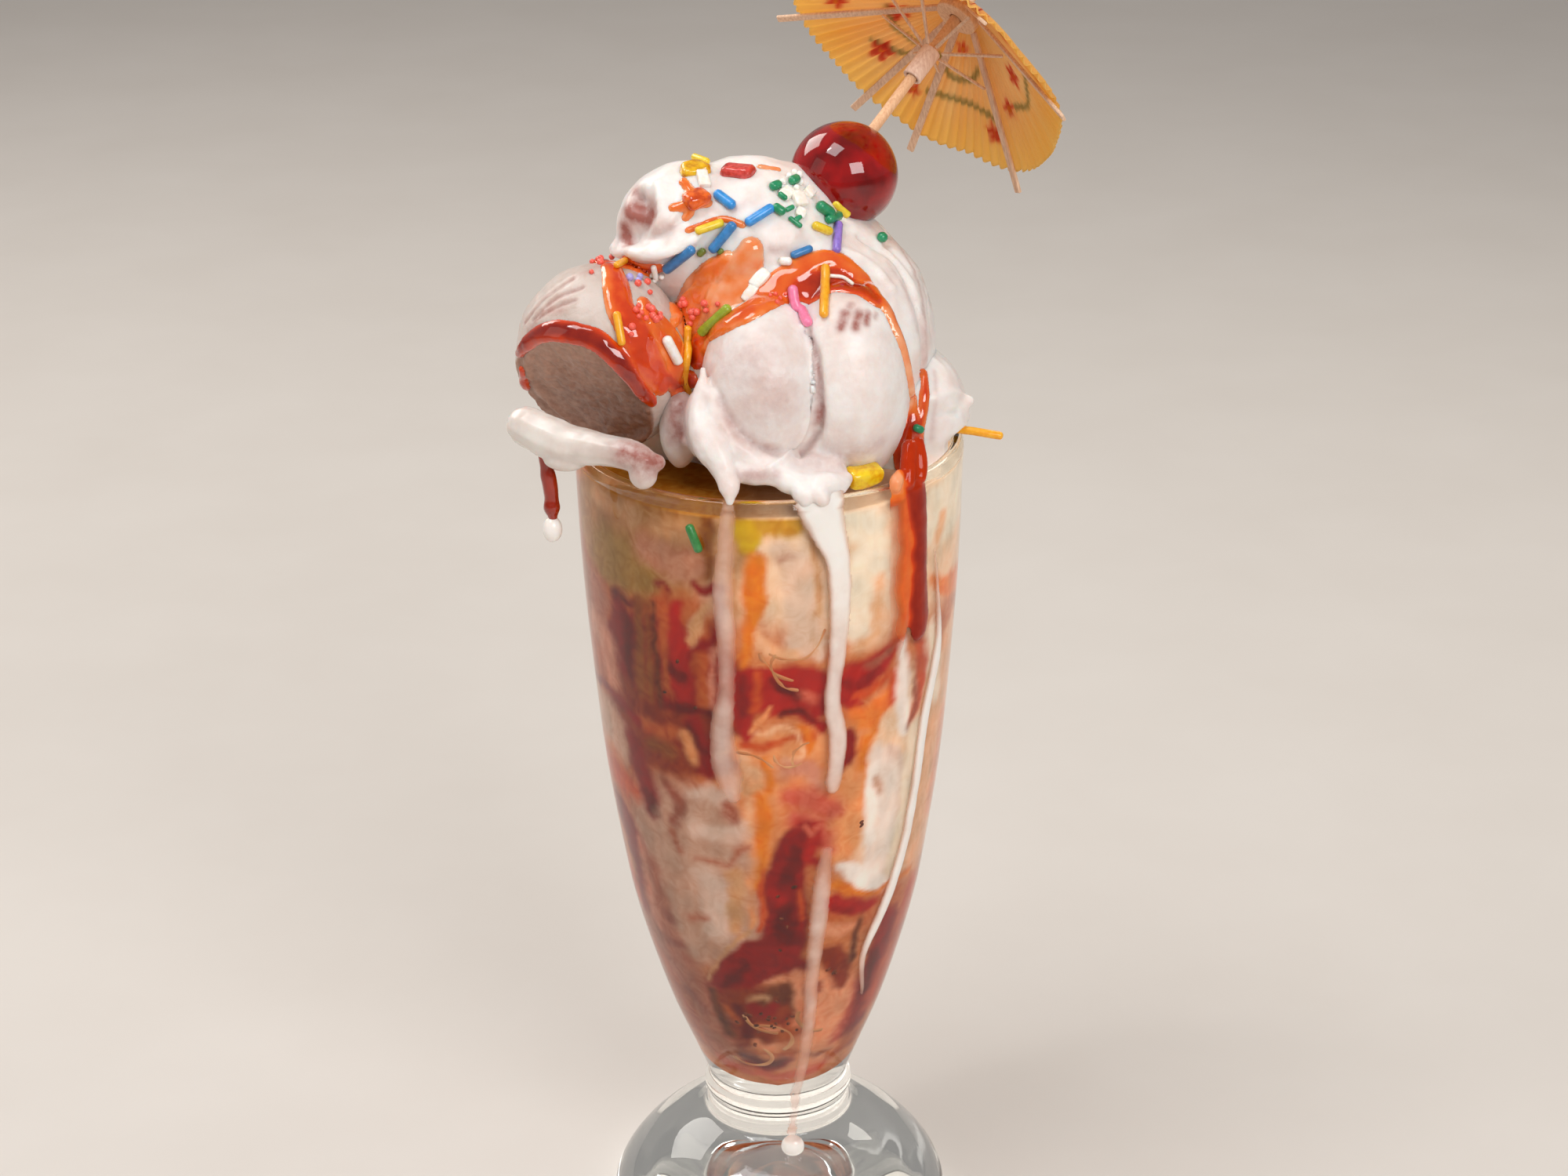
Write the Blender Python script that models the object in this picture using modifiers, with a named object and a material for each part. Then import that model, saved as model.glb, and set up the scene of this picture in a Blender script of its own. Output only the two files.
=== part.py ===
"""Falooda: a footed soda glass filled with layers, heaped ice cream, a cherry and a paper parasol.

Units are metres, +Z is up.  Every position is measured from the foot of the glass's own axis;
the parent empty then carries the whole dessert so that the middle of its box stands on the origin.
"""
import math

import bmesh
import bpy
from mathutils import Matrix, Vector

MM = 0.001

# ---- driving dimensions -------------------------------------------------------------------
GLASS_HEIGHT = 0.200
RIM_RADIUS = 0.0440
RIM_BORE = 0.0411                  # what stands inside the rim keeps within this radius
GAP = 0.0003                       # free space between neighbouring pieces
FILL_LEVEL = 0.1955                # top of the layers inside the glass
MERGE = 0.00001

GLASS_STEPS = 40
FILL_STEPS = 28

# The dessert leans out to the right and back, so the glass axis stands off the middle of the box.
AXIS_X = -0.0060
AXIS_Y = -0.0096

CHERRY_CENTRE = Vector((0.0177, 0.0120, 0.2568))
CHERRY_RADIUS = 0.0120

PARASOL_APEX = Vector((0.0466, 0.0399, 0.2888))
PARASOL_AZIMUTH = math.radians(44.0)      # the way the parasol leans
PARASOL_ELEVATION = math.radians(37.2)    # of its stick above the horizontal
CANOPY_RADIUS = 0.0375
CANOPY_DEPTH = 0.0176
CANOPY_THICKNESS = 0.0005
CANOPY_STEPS = 32
RIB_REACH = 0.0417                        # ribs stand a little proud of the paper
RIB_WIDTH = 0.0018
RIB_THICKNESS = 0.0008
RIB_ANGLES = (-83, -12, 33, 56, 99, 145, 190, 234)
STICK_RADIUS = 0.0012
STICK_ABOVE = 0.0022                      # beyond the apex
STICK_BELOW = 0.0740                      # from the apex down into the ice cream
COLLAR_RADIUS = 0.0023
COLLAR_TOP = 0.0152                       # below the apex
COLLAR_LENGTH = 0.0082
HUB_RADIUS = 0.0052
HUB_LENGTH = 0.0022
STRUT_REACH = 0.0175                      # where a strut meets its rib, from the stick
STRUT_WIDTH = 0.0008
STRUT_THICKNESS = 0.0006

# Turned outlines as (radius, height) in millimetres, following the wall from the rim down.
GLASS_OUTSIDE = [
    (43.5, 199.7), (44.1, 198.0), (43.2, 172.0), (41.7, 150.0), (39.1, 122.0), (35.2, 96.0),
    (32.8, 84.0), (29.2, 71.0), (25.0, 58.0), (20.6, 47.0), (17.6, 39.5), (16.6, 37.0),
    (17.8, 33.5), (16.8, 30.6), (17.7, 27.9), (18.8, 25.9), (27.0, 21.6), (32.0, 17.6),
    (36.5, 12.4), (39.3, 7.5), (40.2, 3.4), (38.6, 0.0),
]
GLASS_INSIDE = [
    (42.5, 200.0), (41.4, 198.8), (41.2, 188.0), (40.6, 172.0), (39.2, 152.0), (36.4, 122.0),
    (32.2, 96.0), (29.6, 84.0), (25.8, 71.5), (21.3, 58.8), (15.5, 49.0), (8.5, 40.6), (0.0, 37.5),
]
FOOT_RECESS = [(33.5, 0.0), (31.0, 3.0), (22.0, 8.8), (0.0, 12.0)]

# Layers in the glass from the bottom up: name, height of its top at the axis, rise to the
# right, rise to the back, height of the waves, colour.
LAYERS = [
    ("syrup_base", 63 * MM, 0.45, 0.10, 1.5 * MM, (0.35, 0.02, 0.01)),
    ("lower_ice_cream", 122 * MM, -0.20, 0.05, 3.0 * MM, (0.80, 0.66, 0.60)),
    ("noodle_layer", 142 * MM, 0.10, 0.00, 2.5 * MM, (0.85, 0.55, 0.38)),
    ("syrup_band", 157 * MM, 0.28, -0.05, 2.0 * MM, (0.45, 0.02, 0.01)),
    ("upper_ice_cream", 181 * MM, 0.12, 0.05, 2.0 * MM, (0.86, 0.72, 0.64)),
    ("jelly_layer", FILL_LEVEL, 0.0, 0.0, 0.0, (0.72, 0.50, 0.16)),
]

scene_collection = bpy.context.scene.collection


# ---- helpers ------------------------------------------------------------------------------
def clear_scene():
    for obj in list(bpy.data.objects):
        bpy.data.objects.remove(obj, do_unlink=True)


def new_collection(name):
    collection = bpy.data.collections.new(name)
    scene_collection.children.link(collection)
    return collection


def make_material(name, colour, roughness, alpha=1.0):
    mat = bpy.data.materials.new(name)
    mat.use_nodes = True
    shader = mat.node_tree.nodes["Principled BSDF"]
    shader.inputs["Base Color"].default_value = (*colour, 1.0)
    shader.inputs["Roughness"].default_value = roughness
    shader.inputs["Metallic"].default_value = 0.0
    shader.inputs["Alpha"].default_value = alpha
    mat.diffuse_color = (*colour, alpha)
    return mat


def add_piece(name, bm, material, parent):
    """Turn a bmesh into a named piece of the dessert."""
    mesh = bpy.data.meshes.new(name)
    bm.to_mesh(mesh)
    bm.free()
    piece = bpy.data.objects.new(name, mesh)
    parts.objects.link(piece)
    piece.data.materials.append(material)
    piece.parent = parent
    return piece


def add_cutter(name, bm, parent):
    mesh = bpy.data.meshes.new(name)
    bm.to_mesh(mesh)
    bm.free()
    cutter = bpy.data.objects.new(name, mesh)
    cutters.objects.link(cutter)
    cutter.parent = parent
    cutter.hide_render = True
    cutter.display_type = "WIRE"
    return cutter


def combine(piece, other, operation):
    boolean = piece.modifiers.new(operation.title() + " " + other.name, "BOOLEAN")
    boolean.operation = operation
    boolean.object = other


def outline_bmesh(outline):
    """An open or closed chain of edges in the XZ plane, from (radius, height) in metres."""
    bm = bmesh.new()
    verts = [bm.verts.new((radius, 0.0, height)) for radius, height in outline]
    for start, end in zip(verts, verts[1:]):
        bm.edges.new((start, end))
    return bm


def turn(piece, steps):
    """Spin the outline in piece about Z."""
    screw = piece.modifiers.new("Turned", "SCREW")
    screw.axis = "Z"
    screw.steps = steps
    screw.render_steps = steps
    screw.use_merge_vertices = True
    screw.merge_threshold = MERGE
    screw.use_smooth_shade = True


def metres(outline):
    return [(radius * MM, height * MM) for radius, height in outline]


def ball_bmesh(centre, radii, segments, rings, swell=0.0):
    """A rounded scoop: a sphere stretched to radii, with gentle swells of the given depth."""
    bm = bmesh.new()
    bmesh.ops.create_uvsphere(bm, u_segments=segments, v_segments=rings, radius=1.0)
    for vert in bm.verts:
        x, y, z = vert.co
        wave = math.sin(3.1 * x + 1.0) * math.cos(2.7 * y) + math.sin(2.3 * z + 2.0 * x)
        grow = 1.0 + swell * wave / min(radii)
        vert.co = Vector(centre) + Vector((x * radii[0], y * radii[1], z * radii[2])) * grow
    return bm


def box_bmesh(centre, size, turn_z=0.0, tilt=0.0, bevel=0.0):
    """A box with softened edges, turned about Z after a tilt about X."""
    bm = bmesh.new()
    bmesh.ops.create_cube(bm, size=1.0)
    bmesh.ops.scale(bm, vec=size, verts=bm.verts)
    if bevel:
        bmesh.ops.bevel(bm, geom=bm.edges[:], offset=bevel, segments=1, affect="EDGES")
    spin = Matrix.Rotation(turn_z, 4, "Z") @ Matrix.Rotation(tilt, 4, "X")
    bmesh.ops.transform(bm, matrix=Matrix.Translation(centre) @ spin, verts=bm.verts)
    return bm


def rod_bmesh(radius, bottom, top, segments):
    """A round rod along Z between two heights."""
    bm = bmesh.new()
    bmesh.ops.create_cone(bm, cap_ends=True, segments=segments, radius1=radius, radius2=radius,
                          depth=top - bottom)
    bmesh.ops.translate(bm, vec=(0.0, 0.0, (top + bottom) / 2), verts=bm.verts)
    return bm


# ---- glass --------------------------------------------------------------------------------
def make_glass():
    wall = [(0.0, GLASS_INSIDE[-1][1])] + GLASS_INSIDE[-2::-1] + GLASS_OUTSIDE + FOOT_RECESS
    clear_glass = make_material("pressed clear glass", (0.90, 0.92, 0.90), 0.03, alpha=0.35)
    glass = add_piece("glass", outline_bmesh(metres(wall)), clear_glass, rig)
    turn(glass, GLASS_STEPS)


# ---- layers in the glass ------------------------------------------------------------------
def surface_height(layer, x, y):
    """Height of the wavy, tilted top of a layer."""
    _, level, rise_x, rise_y, wave, _ = layer
    ripple = math.sin(x * 70.0 + 40.0 * level) * math.cos(y * 60.0)
    return level + rise_x * x + rise_y * y + wave * ripple


def slab_bmesh(lower, upper):
    """A block between the tops of two layers, drawn in by half a gap at each."""
    bm = bmesh.new()
    bmesh.ops.create_grid(bm, x_segments=5, y_segments=5, size=0.046)
    grown = bmesh.ops.extrude_face_region(bm, geom=bm.faces[:])
    top = {item for item in grown["geom"] if isinstance(item, bmesh.types.BMVert)}
    for vert in bm.verts:
        layer = upper if vert in top else lower
        offset = -GAP / 2 if vert in top else GAP / 2
        vert.co.z = surface_height(layer, vert.co.x, vert.co.y) + offset
    bmesh.ops.triangulate(bm, faces=bm.faces[:])
    bmesh.ops.recalc_face_normals(bm, faces=bm.faces[:])
    return bm


def make_layers():
    floor = ("floor", 30 * MM, 0.0, 0.0, 0.0, None)
    inside = [(radius - 0.3, height) for radius, height in GLASS_INSIDE[2:-1]]
    inside = [(0.0, FILL_LEVEL / MM + 2.0), (inside[0][0], FILL_LEVEL / MM + 2.0)] + inside[1:]
    bottom = GLASS_INSIDE[-1][1] + 0.3
    inside = [(radius, height + 0.3) for radius, height in inside] + [(0.0, bottom)]
    below = floor
    for layer in LAYERS:
        name, colour = layer[0], layer[5]
        piece = add_piece(name, outline_bmesh(metres(inside)), make_material(name, colour, 0.35), rig)
        turn(piece, FILL_STEPS)
        slab = add_cutter(name + "_slab", slab_bmesh(below, layer), rig)
        combine(piece, slab, "INTERSECT")
        below = layer


# ---- ice cream ----------------------------------------------------------------------------
MOUND = [
    ((5, 7, 218), (33.5, 32, 35), 24, 14),
    ((-3, 5, 244), (21, 20, 18.5), 16, 10),
    ((-18, 3, 246.5), (15, 15, 16), 14, 8),
    ((-17, 10, 213), (22, 22, 26), 14, 10),
]
FRONT_SCOOP = [((9, -17, 217), (22, 20, 20), 20, 12), ((3, -18.5, 203), (25, 17.5, 6.5), 20, 6)]
LEFT_SCOOP = [((-36.5, -12, 222.5), (19, 19, 21.5), 22, 12)]
RIGHT_SCOOP = [((31, 2, 201.5), (14.5, 16, 19), 18, 12)]
SCOOP_FACE_POINT = Vector((-38.0, -22.0, 218.8)) * MM
SCOOP_FACE_NORMAL = Vector((-0.424, -0.754, -0.500)).normalized()

DRIP_ROUTE = [((-26.2, -34, 204.3), 4.6), ((-32.3, -33, 205.8), 5.0), ((-42, -29.5, 208.6), 5.3),
              ((-50.6, -25, 210.6), 5.4)]


def scoop_object(name, balls, material, grow=0.0, as_cutter=False):
    """One scoop from overlapping balls; a grown copy cuts room for it in its neighbours."""
    pieces = []
    for index, (centre, radii, segments, rings) in enumerate(balls):
        centre = Vector(centre) * MM
        radii = [radius * MM + grow for radius in radii]
        bm = ball_bmesh(centre, radii, segments, rings, swell=0.4 * MM)
        if index == 0 and not as_cutter:
            pieces.append(add_piece(name, bm, material, rig))
        else:
            pieces.append(add_cutter(f"{name}_ball_{index}", bm, rig))
    for extra in pieces[1:]:
        combine(pieces[0], extra, "UNION")
    return pieces[0]


def scoop_face_cutter():
    """A block whose near side is the flat face that the scoop's tool left."""
    block = 0.06
    bm = bmesh.new()
    bmesh.ops.create_cube(bm, size=block)
    turn_to_face = SCOOP_FACE_NORMAL.to_track_quat("Z", "Y").to_matrix().to_4x4()
    centre = SCOOP_FACE_POINT + SCOOP_FACE_NORMAL * block / 2
    bmesh.ops.transform(bm, matrix=Matrix.Translation(centre) @ turn_to_face, verts=bm.verts)
    return add_cutter("scoop_face", bm, rig)


def smooth_route(points, per_span):
    """Points along a Catmull-Rom curve through (position, radius) pairs."""
    padded = [points[0]] + points + [points[-1]]
    route = []
    for index in range(1, len(padded) - 2):
        quad = padded[index - 1:index + 3]
        for step in range(per_span + (index == len(padded) - 3)):
            t = step / per_span
            weights = (
                (-t ** 3 + 2 * t ** 2 - t) / 2, (3 * t ** 3 - 5 * t ** 2 + 2) / 2,
                (-3 * t ** 3 + 4 * t ** 2 + t) / 2, (t ** 3 - t ** 2) / 2,
            )
            place = sum((Vector(p) * w for (p, _), w in zip(quad, weights)), Vector())
            size = sum(r * w for (_, r), w in zip(quad, weights))
            route.append((place, size))
    return route


def sausage_bmesh(points, segments, grow=0.0):
    """A round-ended roll of cream along a route of (position, radius) in millimetres."""
    route = smooth_route(points, 2)
    first, last = route[0], route[-1]
    start_way = (first[0] - route[1][0]).normalized()
    end_way = (last[0] - route[-2][0]).normalized()
    cap = [(0.60, 0.80), (0.93, 0.37)]         # (how far out, share of the radius) round an end
    head = [(first[0] + start_way * first[1] * out, first[1] * share) for out, share in cap]
    tail = [(last[0] + end_way * last[1] * out, last[1] * share) for out, share in cap]
    route = head[::-1] + route + tail
    bm = bmesh.new()
    rings = []
    for index, (place, size) in enumerate(route):
        ahead = route[min(index + 1, len(route) - 1)][0]
        behind = route[max(index - 1, 0)][0]
        frame = (ahead - behind).to_track_quat("Z", "Y").to_matrix()
        radius = size * MM + grow
        ring = []
        for step in range(segments):
            angle = 2 * math.pi * step / segments
            across = frame @ Vector((math.cos(angle), math.sin(angle), 0.0))
            ring.append(bm.verts.new(place * MM + across * radius))
        rings.append(ring)
    for lower, upper in zip(rings, rings[1:]):
        for step in range(segments):
            after = (step + 1) % segments
            bm.faces.new((lower[step], lower[after], upper[after], upper[step]))
    bm.faces.new(rings[0][::-1])
    bm.faces.new(rings[-1])
    bmesh.ops.recalc_face_normals(bm, faces=bm.faces[:])
    return bm


def make_ice_cream():
    cream = make_material("melting ice cream", (0.86, 0.80, 0.77), 0.45)
    mound = scoop_object("ice_cream_mound", MOUND, cream)
    front = scoop_object("front_scoop", FRONT_SCOOP, cream)
    left = scoop_object("left_scoop", LEFT_SCOOP, cream)
    right = scoop_object("right_scoop", RIGHT_SCOOP, cream)
    drip = add_piece("cream_drip", sausage_bmesh(DRIP_ROUTE, 12), cream, rig)

    # The rim and the layers below keep the scoops up.
    below = box_bmesh((0, 0, FILL_LEVEL + GAP - 0.03), (0.2, 0.2, 0.06))
    bed = add_cutter("bed", below, rig)
    rim_band = [
        (RIM_RADIUS + 0.002, GLASS_HEIGHT + GAP), (RIM_RADIUS + 0.002, 0.150),
        (RIM_BORE - GAP, 0.150), (RIM_BORE - GAP, GLASS_HEIGHT + GAP),
        (RIM_RADIUS + 0.002, GLASS_HEIGHT + GAP),
    ]
    rim = add_cutter("rim_band", outline_bmesh(rim_band), rig)
    turn(rim, GLASS_STEPS)
    for scoop in (mound, front, right, drip):
        combine(scoop, rim, "DIFFERENCE")
        combine(scoop, bed, "DIFFERENCE")
    combine(left, scoop_face_cutter(), "DIFFERENCE")

    front_room = scoop_object("front_room", FRONT_SCOOP, cream, GAP, as_cutter=True)
    left_room = scoop_object("left_room", LEFT_SCOOP, cream, GAP, as_cutter=True)
    mound_room = scoop_object("mound_room", MOUND[:1], cream, GAP, as_cutter=True)
    for scoop, room in ((mound, front_room), (mound, left_room), (left, front_room),
                        (right, front_room), (right, mound_room)):
        combine(scoop, room, "DIFFERENCE")
    drip_room = add_cutter("drip_room", sausage_bmesh(DRIP_ROUTE, 12, GAP), rig)
    combine(front, drip_room, "DIFFERENCE")
    return mound, front


# ---- fruit --------------------------------------------------------------------------------
FRUIT = [
    ("candied_fruit_yellow", (-15.4, 0.5, 261.6), (6.6, 4.6, 3.4), 0.3, (0.85, 0.55, 0.03)),
    ("candied_fruit_red", (-6.0, -0.8, 261.4), (7.6, 4.4, 3.2), -0.35, (0.75, 0.08, 0.04)),
    ("candied_fruit_orange", (-15.2, -7.4, 257.4), (6.0, 4.8, 3.4), 0.6, (0.85, 0.28, 0.04)),
    ("candied_fruit_front", (20.8, -31.5, 201.4), (8.6, 4.6, 4.4), 0.50, (0.88, 0.62, 0.02)),
]


def make_fruit(mound, front):
    for name, centre, size, turn_z, colour in FRUIT:
        centre = Vector(centre) * MM
        size = Vector(size) * MM
        bm = box_bmesh(centre, size, turn_z, 0.2, bevel=0.7 * MM)
        add_piece(name, bm, make_material(name, colour, 0.2), rig)
        room = box_bmesh(centre, size + Vector((2, 2, 2)) * GAP, turn_z, 0.2)
        room = add_cutter(name + "_room", room, rig)
        combine(front if name.endswith("front") else mound, room, "DIFFERENCE")


def make_cherry(mound):
    glaze = make_material("candied cherry", (0.25, 0.0, 0.01), 0.08)
    size = (CHERRY_RADIUS, CHERRY_RADIUS, CHERRY_RADIUS * 0.985)
    cherry = add_piece("cherry", ball_bmesh(CHERRY_CENTRE, size, 20, 12), glaze, rig)
    room = [length + GAP for length in size]
    room = add_cutter("cherry_room", ball_bmesh(CHERRY_CENTRE, room, 20, 12), rig)
    combine(mound, room, "DIFFERENCE")
    return cherry


# ---- parasol ------------------------------------------------------------------------------
def make_parasol(mound, cherry):
    lean = Matrix.Rotation(PARASOL_AZIMUTH, 4, "Z")
    lean = lean @ Matrix.Rotation(math.pi / 2 - PARASOL_ELEVATION, 4, "Y")
    stand = bpy.data.objects.new("parasol_stand", None)
    parts.objects.link(stand)
    stand.parent = rig
    stand.location = PARASOL_APEX
    stand.rotation_euler = lean.to_euler()

    wood = make_material("birch stick", (0.80, 0.58, 0.36), 0.6)
    paper = make_material("printed paper", (0.85, 0.48, 0.08), 0.7)
    stick = rod_bmesh(STICK_RADIUS, -STICK_BELOW, STICK_ABOVE, 12)
    add_piece("parasol_stick", stick, wood, stand)
    hole = rod_bmesh(STICK_RADIUS + GAP, -STICK_BELOW - GAP, STICK_ABOVE, 12)
    hole = add_cutter("stick_hole", hole, stand)
    combine(mound, hole, "DIFFERENCE")
    combine(cherry, hole, "DIFFERENCE")

    bore = STICK_RADIUS + GAP
    add_ring("parasol_collar", COLLAR_RADIUS, bore, -COLLAR_TOP, COLLAR_LENGTH, wood, stand)
    hub_top = -HUB_RADIUS * CANOPY_DEPTH / CANOPY_RADIUS - CANOPY_THICKNESS * 1.2 - GAP
    add_ring("parasol_hub", HUB_RADIUS, bore, hub_top, HUB_LENGTH, wood, stand)
    make_canopy(paper, stand, bore)
    make_ribs(wood, stand)


def add_ring(name, outer, inner, top, length, material, parent):
    """A short tube round the stick, its top at the given height."""
    low = top - length
    profile = [(inner, top), (outer, top), (outer, low), (inner, low), (inner, top)]
    ring = add_piece(name, outline_bmesh(profile), material, parent)
    turn(ring, 12)


def make_canopy(paper, stand, bore):
    slope = CANOPY_DEPTH / CANOPY_RADIUS
    edge = [(bore, -bore * slope), (CANOPY_RADIUS * 0.5, -CANOPY_DEPTH * 0.47),
            (CANOPY_RADIUS, -CANOPY_DEPTH)]
    canopy = add_piece("parasol_canopy", outline_bmesh(edge), paper, stand)
    turn(canopy, CANOPY_STEPS)
    shell = canopy.modifiers.new("Paper", "SOLIDIFY")
    shell.thickness = CANOPY_THICKNESS
    shell.offset = -1.0


def radial_strip(name, start, end, width, thickness, angle, material, stand):
    """A flat strip between two (radius, height) points, in the plane at an angle round the stick."""
    run, rise = end[0] - start[0], end[1] - start[1]
    bm = bmesh.new()
    bmesh.ops.create_cube(bm, size=1.0)
    bmesh.ops.scale(bm, vec=(math.hypot(run, rise), width, thickness), verts=bm.verts)
    place = Matrix.Rotation(math.radians(angle), 4, "Z")
    middle = ((start[0] + end[0]) / 2, 0.0, (start[1] + end[1]) / 2)
    place = place @ Matrix.Translation(middle) @ Matrix.Rotation(-math.atan2(rise, run), 4, "Y")
    bmesh.ops.transform(bm, matrix=place, verts=bm.verts)
    add_piece(name, bm, material, stand)


def make_ribs(wood, stand):
    """Ribs under the paper, and the struts that hold them out from the collar."""
    slope = CANOPY_DEPTH / CANOPY_RADIUS
    drop = (CANOPY_THICKNESS + GAP + RIB_THICKNESS / 2) * math.hypot(1.0, slope)
    inner = HUB_RADIUS + 2 * GAP
    under_rib = drop + RIB_THICKNESS / 2 + GAP + STRUT_THICKNESS
    collar_edge = COLLAR_RADIUS + GAP + STRUT_THICKNESS / 2
    for index, angle in enumerate(RIB_ANGLES):
        rib_ends = (inner, -inner * slope - drop), (RIB_REACH, -RIB_REACH * slope - drop)
        radial_strip(f"parasol_rib_{index + 1}", *rib_ends, RIB_WIDTH, RIB_THICKNESS, angle, wood,
                     stand)
        strut_ends = (collar_edge, -COLLAR_TOP), (STRUT_REACH, -STRUT_REACH * slope - under_rib)
        radial_strip(f"parasol_strut_{index + 1}", *strut_ends, STRUT_WIDTH, STRUT_THICKNESS,
                     angle, wood, stand)


# ---- build --------------------------------------------------------------------------------
clear_scene()
parts = new_collection("falooda")
cutters = new_collection("cutters")
rig = bpy.data.objects.new("glass_axis", None)
parts.objects.link(rig)
rig.location = (AXIS_X, AXIS_Y, 0.0)

make_glass()
make_layers()
mound_piece, front_piece = make_ice_cream()
make_fruit(mound_piece, front_piece)
cherry_piece = make_cherry(mound_piece)
make_parasol(mound_piece, cherry_piece)
bpy.context.view_layer.update()
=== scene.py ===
"""Falooda in a footed soda glass, heaped with ice cream, syrup, sprinkles, a cherry and a paper parasol.

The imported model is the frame.  Every length here is in millimetres from the foot of the glass's own
axis: x to the right, y away from the front, z up.  The function at() turns such a place into metres.
"""

import math
import random

import bpy
import numpy as np
from mathutils import Matrix, Vector, noise
from mathutils.bvhtree import BVHTree


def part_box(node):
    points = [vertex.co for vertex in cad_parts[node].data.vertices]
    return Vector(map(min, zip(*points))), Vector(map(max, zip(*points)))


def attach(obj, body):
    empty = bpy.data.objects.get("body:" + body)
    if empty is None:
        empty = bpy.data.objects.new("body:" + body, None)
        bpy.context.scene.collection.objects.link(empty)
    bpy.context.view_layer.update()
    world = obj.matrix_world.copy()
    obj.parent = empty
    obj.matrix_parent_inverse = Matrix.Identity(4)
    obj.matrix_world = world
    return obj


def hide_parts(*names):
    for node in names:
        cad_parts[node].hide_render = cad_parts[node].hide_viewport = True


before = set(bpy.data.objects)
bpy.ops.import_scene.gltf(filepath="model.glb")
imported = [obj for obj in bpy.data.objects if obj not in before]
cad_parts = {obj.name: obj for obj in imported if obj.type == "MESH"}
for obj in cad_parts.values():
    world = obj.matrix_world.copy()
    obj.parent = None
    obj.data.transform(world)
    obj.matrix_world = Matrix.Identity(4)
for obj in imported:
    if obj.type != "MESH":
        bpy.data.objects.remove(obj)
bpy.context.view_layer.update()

MM = 0.001
BODY = "root"
glass_low, glass_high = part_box("glass")
AXIS = Vector(((glass_low.x + glass_high.x) / 2, (glass_low.y + glass_high.y) / 2, glass_low.z))
FULL_TURN = 2 * math.pi

# ---- the glass -------------------------------------------------------------------------------
RIM_TOP = 200.0
FILL_LEVEL = 195.5          # top of what is in the glass
WALL_BITE = 0.15            # how far the filling reaches into the wall, so that no air shows
GLASS_STEPS = 192
FILLING_STEPS = 384         # finer, because its colours are stored on its points

# Turned outlines as (radius, height), following the wall down from the rim.
GLASS_OUTSIDE = [
    (43.5, 199.7), (44.1, 198.0), (43.2, 172.0), (41.7, 150.0), (39.1, 122.0), (35.2, 96.0),
    (32.8, 84.0), (29.2, 71.0), (25.0, 58.0), (20.6, 47.0), (17.6, 39.5), (16.6, 37.0),
    (17.8, 33.5), (16.8, 30.6), (17.7, 27.9), (18.8, 25.9), (27.0, 21.6), (32.0, 17.6),
    (36.5, 12.4), (39.3, 7.5), (40.2, 3.4), (38.6, 0.0),
]
GLASS_INSIDE = [
    (42.5, 200.0), (41.4, 198.8), (41.2, 188.0), (40.6, 172.0), (39.2, 152.0), (36.4, 122.0),
    (32.2, 96.0), (29.6, 84.0), (25.8, 71.5), (21.3, 58.8), (15.5, 49.0), (8.5, 40.6), (0.0, 37.5),
]
FOOT_RECESS = [(33.5, 0.0), (31.0, 3.0), (22.0, 8.8), (0.0, 12.0)]

# ---- the camera ------------------------------------------------------------------------------
EYE = Vector((3.0, -796.0, 498.0))
LOOK_DOWN = math.radians(22.9)
ROLL = math.radians(-0.736)
LENS = 86.2                 # on a sensor 36 mm wide


def at(x, y, z):
    """A place in the model, in metres."""
    return AXIS + Vector((x, y, z)) * MM


def make_camera():
    data = bpy.data.cameras.new("camera")
    data.lens = LENS
    data.sensor_width = 36.0
    camera = bpy.data.objects.new("camera", data)
    bpy.context.scene.collection.objects.link(camera)
    tilt = Matrix.Rotation(math.pi / 2 - LOOK_DOWN, 4, "X") @ Matrix.Rotation(ROLL, 4, "Z")
    camera.matrix_world = Matrix.Translation(at(*EYE)) @ tilt
    data.clip_start, data.clip_end = 0.01, 50.0
    bpy.context.scene.camera = camera


# ---- modelling helpers -----------------------------------------------------------------------
def start_fresh():
    """Object mode with nothing selected, so that an operator acts on the new piece alone."""
    if bpy.context.object and bpy.context.object.mode != "OBJECT":
        bpy.ops.object.mode_set(mode="OBJECT")
    bpy.ops.object.select_all(action="DESELECT")


def settle():
    """Put the active piece's place, turn and size into its mesh."""
    bpy.ops.object.transform_apply(location=True, rotation=True, scale=True)
    return bpy.context.object


def pick(piece):
    start_fresh()
    piece.select_set(True)
    bpy.context.view_layer.objects.active = piece


def modify(piece, kind, **settings):
    """Add a modifier and apply it."""
    pick(piece)
    bpy.ops.object.modifier_add(type=kind)
    modifier = piece.modifiers[-1]
    for key, value in settings.items():
        setattr(modifier, key, value)
    bpy.ops.object.modifier_apply(modifier=modifier.name)


def join(pieces, name):
    start_fresh()
    for piece in pieces:
        piece.select_set(True)
    bpy.context.view_layer.objects.active = pieces[0]
    if len(pieces) > 1:
        bpy.ops.object.join()
    piece = bpy.context.object
    piece.name = piece.data.name = name
    return piece


def finish(piece, name, material, replaces=(), smooth=True):
    """Name a piece, give it its finish and put it on the body."""
    piece.name = piece.data.name = name
    piece.data.materials.clear()
    piece.data.materials.append(material)
    pick(piece)
    if smooth:
        bpy.ops.object.shade_smooth()
    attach(piece, BODY)
    if replaces:
        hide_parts(*replaces)
    return piece


def points_of(piece):
    flat = np.empty(len(piece.data.vertices) * 3, np.float32)
    piece.data.vertices.foreach_get("co", flat)
    return (flat.reshape(-1, 3).astype(float) - np.array(AXIS)) / MM


def normals_of(piece):
    flat = np.empty(len(piece.data.vertices) * 3, np.float32)
    piece.data.vertex_normals.foreach_get("vector", flat)
    return flat.reshape(-1, 3).astype(float)


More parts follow.
